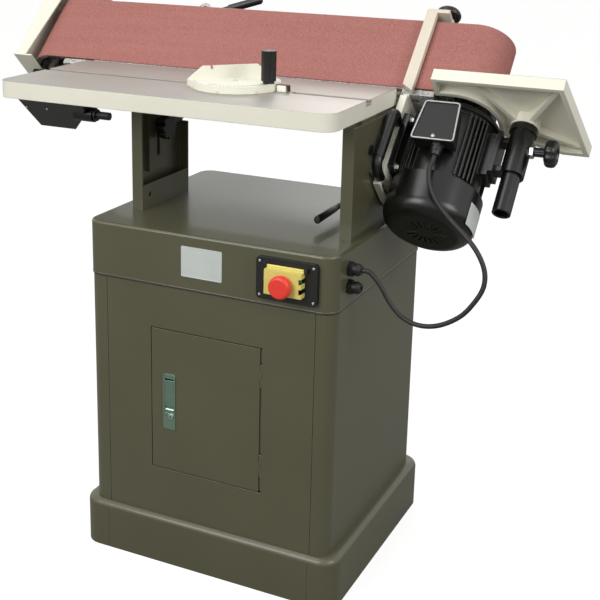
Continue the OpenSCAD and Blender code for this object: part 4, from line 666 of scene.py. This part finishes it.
# %% Plate on the box
# Satin aluminium is pale and even, more like grey paint than like a mirror.
satin_aluminium = bare_metal("satin_aluminium", "#D5DBD8", "#C9D0CD", 25, 0.5, 0.05, metallic=0.3)
bpy.ops.mesh.primitive_cube_add(size=1, location=mm(-6, -217.3, 583))
bpy.ops.transform.resize(value=(0.078, 0.0008, 0.054))
box_plate = begin("box_plate")
choose("EDGE", lambda edge, middle: abs((edge.verts[0].co - edge.verts[1].co).y) > 0.0005)
bpy.ops.mesh.bevel(offset=0.002, segments=3)
choose("FACE", lambda face, middle: face.normal.y < -0.9)
bpy.ops.mesh.inset(thickness=0.0012)
bpy.ops.mesh.inset(thickness=0.0004, depth=-0.00015)
leave()
settle(box_plate, satin_aluminium, "stand")
print("box plate", [round(v * 1000, 1) for v in box_plate.dimensions], "mm")

# %% Plate on the fan cover
bpy.ops.mesh.primitive_cylinder_add(vertices=120, radius=0.0801, depth=0.042, end_fill_type="NOTHING")
cover_plate = begin("fan_cover_plate")
choose("FACE", lambda face, middle: not -23 < degrees(atan2(middle.y, middle.x)) < 12)
bpy.ops.mesh.delete(type="FACE")
choose("FACE", lambda face, middle: True)
bpy.ops.mesh.subdivide(number_cuts=2)
leave()
thicken(cover_plate, 0.0006, offset=1)
bpy.ops.object.shade_smooth_by_angle(angle=radians(30))
cover_plate.data.transform(Matrix.Translation(on_head(320, 41, -211)) @ TILT.to_4x4())
settle(cover_plate, satin_aluminium, "head")
print("fan cover plate", len(cover_plate.data.polygons), "faces")

# %% [markdown]
# ## Key cylinder of the latch
# Below its paddle the latch has a small lock. It is a short round plug with a slot for the key. The slot
# is cut with a boolean modifier, because a real key slot has no edges in common with the round plug.

# %% Key cylinder
latch_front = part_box("latch_housing")[0][1]
lock_x, lock_z = -0.0665, 0.2905
bpy.ops.mesh.primitive_cylinder_add(vertices=40, radius=0.0052, depth=0.004, rotation=(pi / 2, 0, 0),
                                    location=(lock_x, latch_front - 0.001, lock_z))
key_cylinder = begin("latch_key_cylinder")
choose("EDGE", lambda edge, middle: middle.y < latch_front - 0.0028)
bpy.ops.mesh.bevel(offset=0.0006, segments=2)
leave()
key_cylinder.select_set(False)
bpy.ops.mesh.primitive_cube_add(size=1, location=(lock_x, latch_front - 0.002, lock_z))
slot_cutter = bpy.context.object
bpy.ops.transform.resize(value=(0.0018, 0.0045, 0.0066))
bpy.ops.object.transform_apply(location=True, rotation=True, scale=True)
slot_cutter.select_set(False)
key_cylinder.select_set(True)
bpy.context.view_layer.objects.active = key_cylinder
bpy.ops.object.modifier_add(type="BOOLEAN")
key_cylinder.modifiers["Boolean"].object = slot_cutter
bpy.ops.object.modifier_apply(modifier="Boolean")
bpy.data.objects.remove(slot_cutter)
bpy.ops.object.shade_smooth_by_angle(angle=radians(35))
settle(key_cylinder, zinc_plate, "door")
print("key cylinder", len(key_cylinder.data.polygons), "faces")

# %% [markdown]
# ## Pointer of the mitre gauge
# The gauge reads its angle at a small bent pointer, screwed to a block on the bar. A strip of faces is
# extruded twice to make the bend, then given the thickness of sheet steel. The scale itself is a row of
# short lines cut in the rim and filled with grey ink, every five degrees with a longer one every fifteen.

# %% Block under the pointer
bpy.ops.mesh.primitive_cube_add(size=1, location=mm(62, -52, 863))
bpy.ops.transform.resize(value=(0.017, 0.013, 0.0112))
pointer_block = begin("gauge_pointer_block")
choose("EDGE", lambda edge, middle: middle.z > 0.864)
bpy.ops.mesh.bevel(offset=0.0015, segments=2)
leave()
settle(pointer_block, cream_enamel, "mitre_bar")
print("pointer's block", [round(v * 1000, 1) for v in pointer_block.dimensions], "mm")

# %% Pointer
bpy.ops.mesh.primitive_plane_add(size=1, location=mm(62, -53, 869))
bpy.ops.transform.resize(value=(0.021, 0.009, 1))
pointer = begin("gauge_pointer")
choose("EDGE", lambda edge, middle: middle.x > 0.072)
bpy.ops.mesh.extrude_region_move(TRANSFORM_OT_translate={"value": (0.0012, 0, -0.0012)})
bpy.ops.mesh.extrude_region_move(TRANSFORM_OT_translate={"value": (0.0004, 0, -0.0098)})
leave()
thicken(pointer, 0.0014)
settle(pointer, black_enamel, "mitre_bar")
print("pointer", [round(v * 1000, 1) for v in pointer.dimensions], "mm")

# %% Scale lines on the rim
scale_ink = moulded("engraved_scale_ink", "#8E8C84", "#7E7C74", 2, 0.6)
gauge = mm(-28, -51, 869.3)
scale_r, line_wide, line_deep = 0.0765, 0.0006, 0.0003
bpy.ops.mesh.primitive_cube_add(size=1, location=(0, 0, 0))
line_master = begin("scale_line_master")
choose("EDGE", lambda edge, middle: middle.z > 0.4)
bpy.ops.mesh.bevel(offset=0.15, segments=1)
leave()
bpy.ops.object.select_all(action="DESELECT")
for degree in range(-150, -9, 5):
    length = 0.006 if degree % 15 == 0 else 0.0035
    outward = Matrix.Rotation(radians(degree), 4, "Z") @ Matrix.Translation((scale_r - length / 2, 0, 0))
    size = Matrix.Diagonal((length, line_wide, line_deep, 1))
    line = line_master.copy()
    line.data = line_master.data.copy()
    line.data.transform(Matrix.Translation(gauge) @ outward @ size)
    bpy.context.collection.objects.link(line)
    line.select_set(True)
    bpy.context.view_layer.objects.active = line
bpy.ops.object.join()
gauge_scale = bpy.context.object
gauge_scale.name = "gauge_scale"
bpy.data.objects.remove(line_master)
settle(gauge_scale, scale_ink, "mitre_head")
print("scale", len(gauge_scale.data.polygons), "faces")

# %% [markdown]
# ## Lid rim and plate block
# The terminal box has a cast lid with a pale grey rim. The rim starts as a thin block with the lid's
# outline: it gets round corners, an inset divides the rim from the middle, and the middle goes. The cream
# block stands on the front edge of the motor plate, under the work stop. Both are drawn in the head's
# upright place and then turned with it.

# %% Rim of the terminal box's lid
pale_rim = bare_metal("pale_cast_rim", "#A9AAA6", "#8F908C", 8, 0.42, 0.06)
top_width, foot_width = 62, 76
bpy.ops.mesh.primitive_cube_add(size=1, location=mm(319, -62.4, -83))
bpy.ops.transform.resize(value=(top_width / 1000, 0.002, 0.078))
lid_rim = begin("terminal_lid_rim")
choose("VERT", lambda vert, middle: middle.z < -0.1)
bpy.ops.transform.resize(value=(foot_width / top_width, 1, 1))
choose("EDGE", lambda edge, middle: abs((edge.verts[0].co - edge.verts[1].co).y) > 0.0015)
bpy.ops.mesh.bevel(offset=0.006, segments=4)
choose("FACE", lambda face, middle: face.normal.y < -0.9)
bpy.ops.mesh.inset(thickness=0.0026)
bpy.ops.mesh.delete(type="FACE")
choose("FACE", lambda face, middle: face.normal.y > -0.9)
bpy.ops.mesh.delete(type="FACE")
leave()
thicken(lid_rim, 0.0016)
lid_rim.data.transform(TO_HEAD)
settle(lid_rim, pale_rim, "head")
print("lid rim", len(lid_rim.data.polygons), "faces")

# %% Block on the motor plate's edge
bpy.ops.mesh.primitive_cube_add(size=1, location=mm(233, -24.8, -40))
bpy.ops.transform.resize(value=(0.0136, 0.0094, 0.052))
plate_block = begin("motor_plate_block")
choose("EDGE", lambda edge, middle: middle.y < -0.026)
bpy.ops.mesh.bevel(offset=0.0016, segments=3)
leave()
plate_block.data.transform(TO_HEAD)
settle(plate_block, cream_enamel, "head")
print("plate block", len(plate_block.data.polygons), "faces")

# %% [markdown]
# ## Lock knob of the end table
# The end table's post is locked by a hand knob, a thick moulded disc with shallow finger hollows and a
# sunk middle. It could be turned from a profile, but its hollows are easier on a cylinder: its rim is
# rounded, some of the rim's points are drawn in, and hub and screw are extruded from its back in steps.
# The screw runs in a plated nut on the bracket.

# %% Axis of the lock screw
screw_points = [TO_HEAD.inverted() @ v.co for v in nodes["post_lock_knob"].data.vertices]
knob_tip = max(v.x for v in screw_points)
screw_end = min(v.x for v in screw_points)
knob_y = (max(v.y for v in screw_points) + min(v.y for v in screw_points)) / 2
knob_z = (max(v.z for v in screw_points) + min(v.z for v in screw_points)) / 2
along_screw = TO_HEAD @ Matrix.Translation((knob_tip, knob_y, knob_z)) @ Matrix.Rotation(pi / 2, 4, "Y")
print("lock knob and screw", round((knob_tip - screw_end) * 1000, 1), "mm long")

# %% Lock knob
hollows = 7
knob_thick, hub_length = 0.020, 0.0187
screw_length = knob_tip - screw_end - knob_thick - hub_length
bpy.ops.mesh.primitive_cylinder_add(vertices=8 * hollows, radius=0.0239, depth=knob_thick,
                                    location=(0, 0, -knob_thick / 2))
lock_knob = begin("post_lock_hand_knob")
choose("EDGE", lambda edge, middle: abs(middle.z + knob_thick / 2) > 0.009)
bpy.ops.mesh.bevel(offset=0.0075, segments=5)
choose("VERT", lambda vert, middle: middle.xy.length > 0.012
       and cos(hollows * atan2(middle.y, middle.x)) > 0.6)
bpy.ops.transform.resize(value=(0.93, 0.93, 1))
# Each step moves the extruded face along the axis and then shrinks it.
front_steps = ((0, 0.80), (-0.003, 0.85))
back_steps = ((0, 0.5), (-hub_length, 1), (0, 0.62), (-screw_length, 1))
for side, steps in ((1, front_steps), (-1, back_steps)):
    choose("FACE", lambda face, middle: side * (middle.z + knob_thick / 2) > 0.009 and len(face.verts) > 8)
    for step, shrink in steps:
        bpy.ops.mesh.extrude_region_move(TRANSFORM_OT_translate={"value": (0, 0, step)})
        bpy.ops.transform.resize(value=(shrink, shrink, 1))
leave(smooth_angle=40)
lock_knob.data.transform(along_screw)
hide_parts("post_lock_knob")
settle(lock_knob, black_phenolic, "post_lock_knob")
print("lock knob", len(lock_knob.data.polygons), "faces")

# %% Nut of the lock screw
bpy.ops.mesh.primitive_cylinder_add(vertices=6, radius=0.0125, depth=0.0062, location=(0, 0, -0.0424))
lock_nut = begin("post_lock_nut")
choose("FACE", lambda face, middle: face.normal.z > 0.9)
bpy.ops.mesh.inset(thickness=0.0012)
bpy.ops.transform.translate(value=(0, 0, 0.0005))
bpy.ops.mesh.inset(thickness=0.002, depth=-0.0008)
leave()
lock_nut.data.transform(along_screw)
settle(lock_nut, zinc_plate, "head")
print("nut", len(lock_nut.data.polygons), "faces")

# %% [markdown]
# ## Grip of the tilt lock
# The bar that locks the tilt ends in a thicker moulded grip with a flat end, easy to find by hand under
# the table. It could be drawn in place, but a cylinder is easier to shape upright: it is widened at one
# end and its edges are rounded, and then it is laid along the bar of the frame.

# %% Grip on the lock bar
grip_length, overhang = 0.075, 0.004
bpy.ops.mesh.primitive_cylinder_add(vertices=32, radius=0.0062, depth=grip_length,
                                    location=(0, 0, overhang - grip_length / 2))
lock_grip = begin("tilt_lock_grip")
choose("VERT", lambda vert, middle: middle.z > 0)
bpy.ops.transform.resize(value=(1.0, 1.15, 1))
choose("EDGE", lambda edge, middle: abs(edge.verts[0].co.z - edge.verts[1].co.z) < 0.001)
bpy.ops.mesh.bevel(offset=0.0018, segments=3)
leave(smooth_angle=35)
bar_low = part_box("tilt_lock_lever")[0]
bar_hub = mm(150, 114, 655)
end_ring = [v.co for v in nodes["tilt_lock_lever"].data.vertices if v.co.y < bar_low.y + 0.004]
bar_end = sum(end_ring, Vector()) / len(end_ring)
turn = Vector((0, 0, 1)).rotation_difference(bar_end - bar_hub).to_matrix().to_4x4()
lock_grip.data.transform(Matrix.Translation(bar_end) @ turn)
settle(lock_grip, black_phenolic, "tilt_lock")
print("lock grip at", [round(v, 3) for v in bar_end], "m")

# %% [markdown]
# ## Hemmed edge and door jamb
# The box's lower edge is hemmed: the sheet is folded on itself, which leaves a thin round bead that
# catches the light. Under it a black strip is painted shade for the dark line of the joint. Both are
# tubes along the box's outline. Behind the door's hinge gap the panel has a small angle that keeps light
# out. It is a strip whose edge is extruded once to turn the corner, then given the thickness of the sheet.

# %% Bead and painted shade strip under the box
low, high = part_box("top_box")
bead_r, strip_r, sunk, box_corner = 0.0014, 0.0010, 0.0009, 0.026
# The black strip is painted shade for the dark joint between box and cabinet.
for name, radius, rise, finish, slot in (("box_lower_bead", bead_r, bead_r, olive_enamel, "olive_paint"),
                                         ("box_seam_shade_strip", strip_r, -strip_r, lead_rubber, "rubber")):
    bpy.ops.mesh.primitive_plane_add(size=1, location=(0, 0, low[2] + rise))
    bpy.ops.transform.resize(value=(high[0] - low[0] - 2 * sunk, high[1] - low[1] - 2 * sunk, 1))
    edging = begin(name)
    bpy.ops.mesh.select_all(action="SELECT")
    bpy.ops.mesh.bevel(offset=box_corner, affect="VERTICES", segments=12)
    bpy.ops.mesh.select_all(action="SELECT")
    bpy.ops.mesh.delete(type="ONLY_FACE")
    leave()
    bpy.ops.object.convert(target="CURVE")
    edging.data.bevel_depth = radius
    edging.data.bevel_resolution = 3
    bpy.ops.object.convert(target="MESH")
    bpy.ops.object.shade_smooth()
    settle(edging, finish, "stand")
    print(name, [round(v, 3) for v in edging.dimensions], "m")

# %% Angles behind the hinge gap
# Bottom and top, in millimetres, of the stretches that the hinges leave free.
free_stretches = ((188, 213.5), (258.5, 379.5), (424.5, 450))
bpy.ops.object.select_all(action="DESELECT")
for bottom, top in free_stretches:
    bpy.ops.mesh.primitive_plane_add(size=1, rotation=(pi / 2, 0, 0),
                                     location=mm(109, -212.4, (bottom + top) / 2))
    bpy.ops.transform.resize(value=(0.008, 1, (top - bottom) / 1000))
    jamb = begin("door_jamb_%d" % int(bottom))
    choose("EDGE", lambda edge, middle: middle.x > 0.1125)
    bpy.ops.mesh.extrude_region_move(TRANSFORM_OT_translate={"value": (0.0006, 0.009, 0)})
    leave()
    thicken(jamb, 0.001)
    settle(jamb, olive_enamel, "stand")
    print(jamb.name, [round(v * 1000, 1) for v in jamb.dimensions], "mm")

# %% [markdown]
# ## Screws in their places
# The rows below give place, direction and radius of each screw. Those on the motor's foot and on the
# switch show in the photo. The others hold the guards and covers, where such machines have them. The two
# stops on the gauge's rim have the form of a pan head too.

# %% Place the screws
RIGHT, FRONT = Vector((1, 0, 0)), Vector((0, -1, 0))
switch_spots = [(mm(x, -225, z), FRONT, 2.4) for x in (107, 203) for z in (552, 610)]
copies(pan_head, "switch_screws", switch_spots, zinc_plate, "stand")
foot_spots = [(on_head(250, y, z), RIGHT, 6.5) for y in (-1, 83) for z in (-48, -147)]
copies(hex_head, "motor_foot_bolts", foot_spots, zinc_plate, "head")
lid_spots = [(on_head(319, -62, -114), -HEAD_BACK, 4)]
copies(pan_head, "terminal_lid_screw", lid_spots, zinc_plate, "head")
tracking_spots = [(on_head(x, 36, -86), -HEAD_UP, 3) for x in (-581, -530)]
copies(pan_head, "tracking_screws", tracking_spots, zinc_plate, "head")
block_spots = [(on_head(x, -29.5, -59), -HEAD_BACK, 2.4) for x in (229.6, 236.4)]
copies(socket_head, "plate_block_screws", block_spots, black_enamel, "head")
stop_r, stop_drop = 0.0778, 0.0085
outwards = [Vector((cos(radians(degree)), sin(radians(degree)), 0)) for degree in (-87, -37)]
stop_spots = [(gauge + outward * stop_r - Vector((0, 0, stop_drop)), outward, 2.4) for outward in outwards]
copies(pan_head, "gauge_stops", stop_spots, cream_enamel, "mitre_head")
for master in (hex_head, socket_head, pan_head):
    bpy.data.objects.remove(master)
print("screws placed")
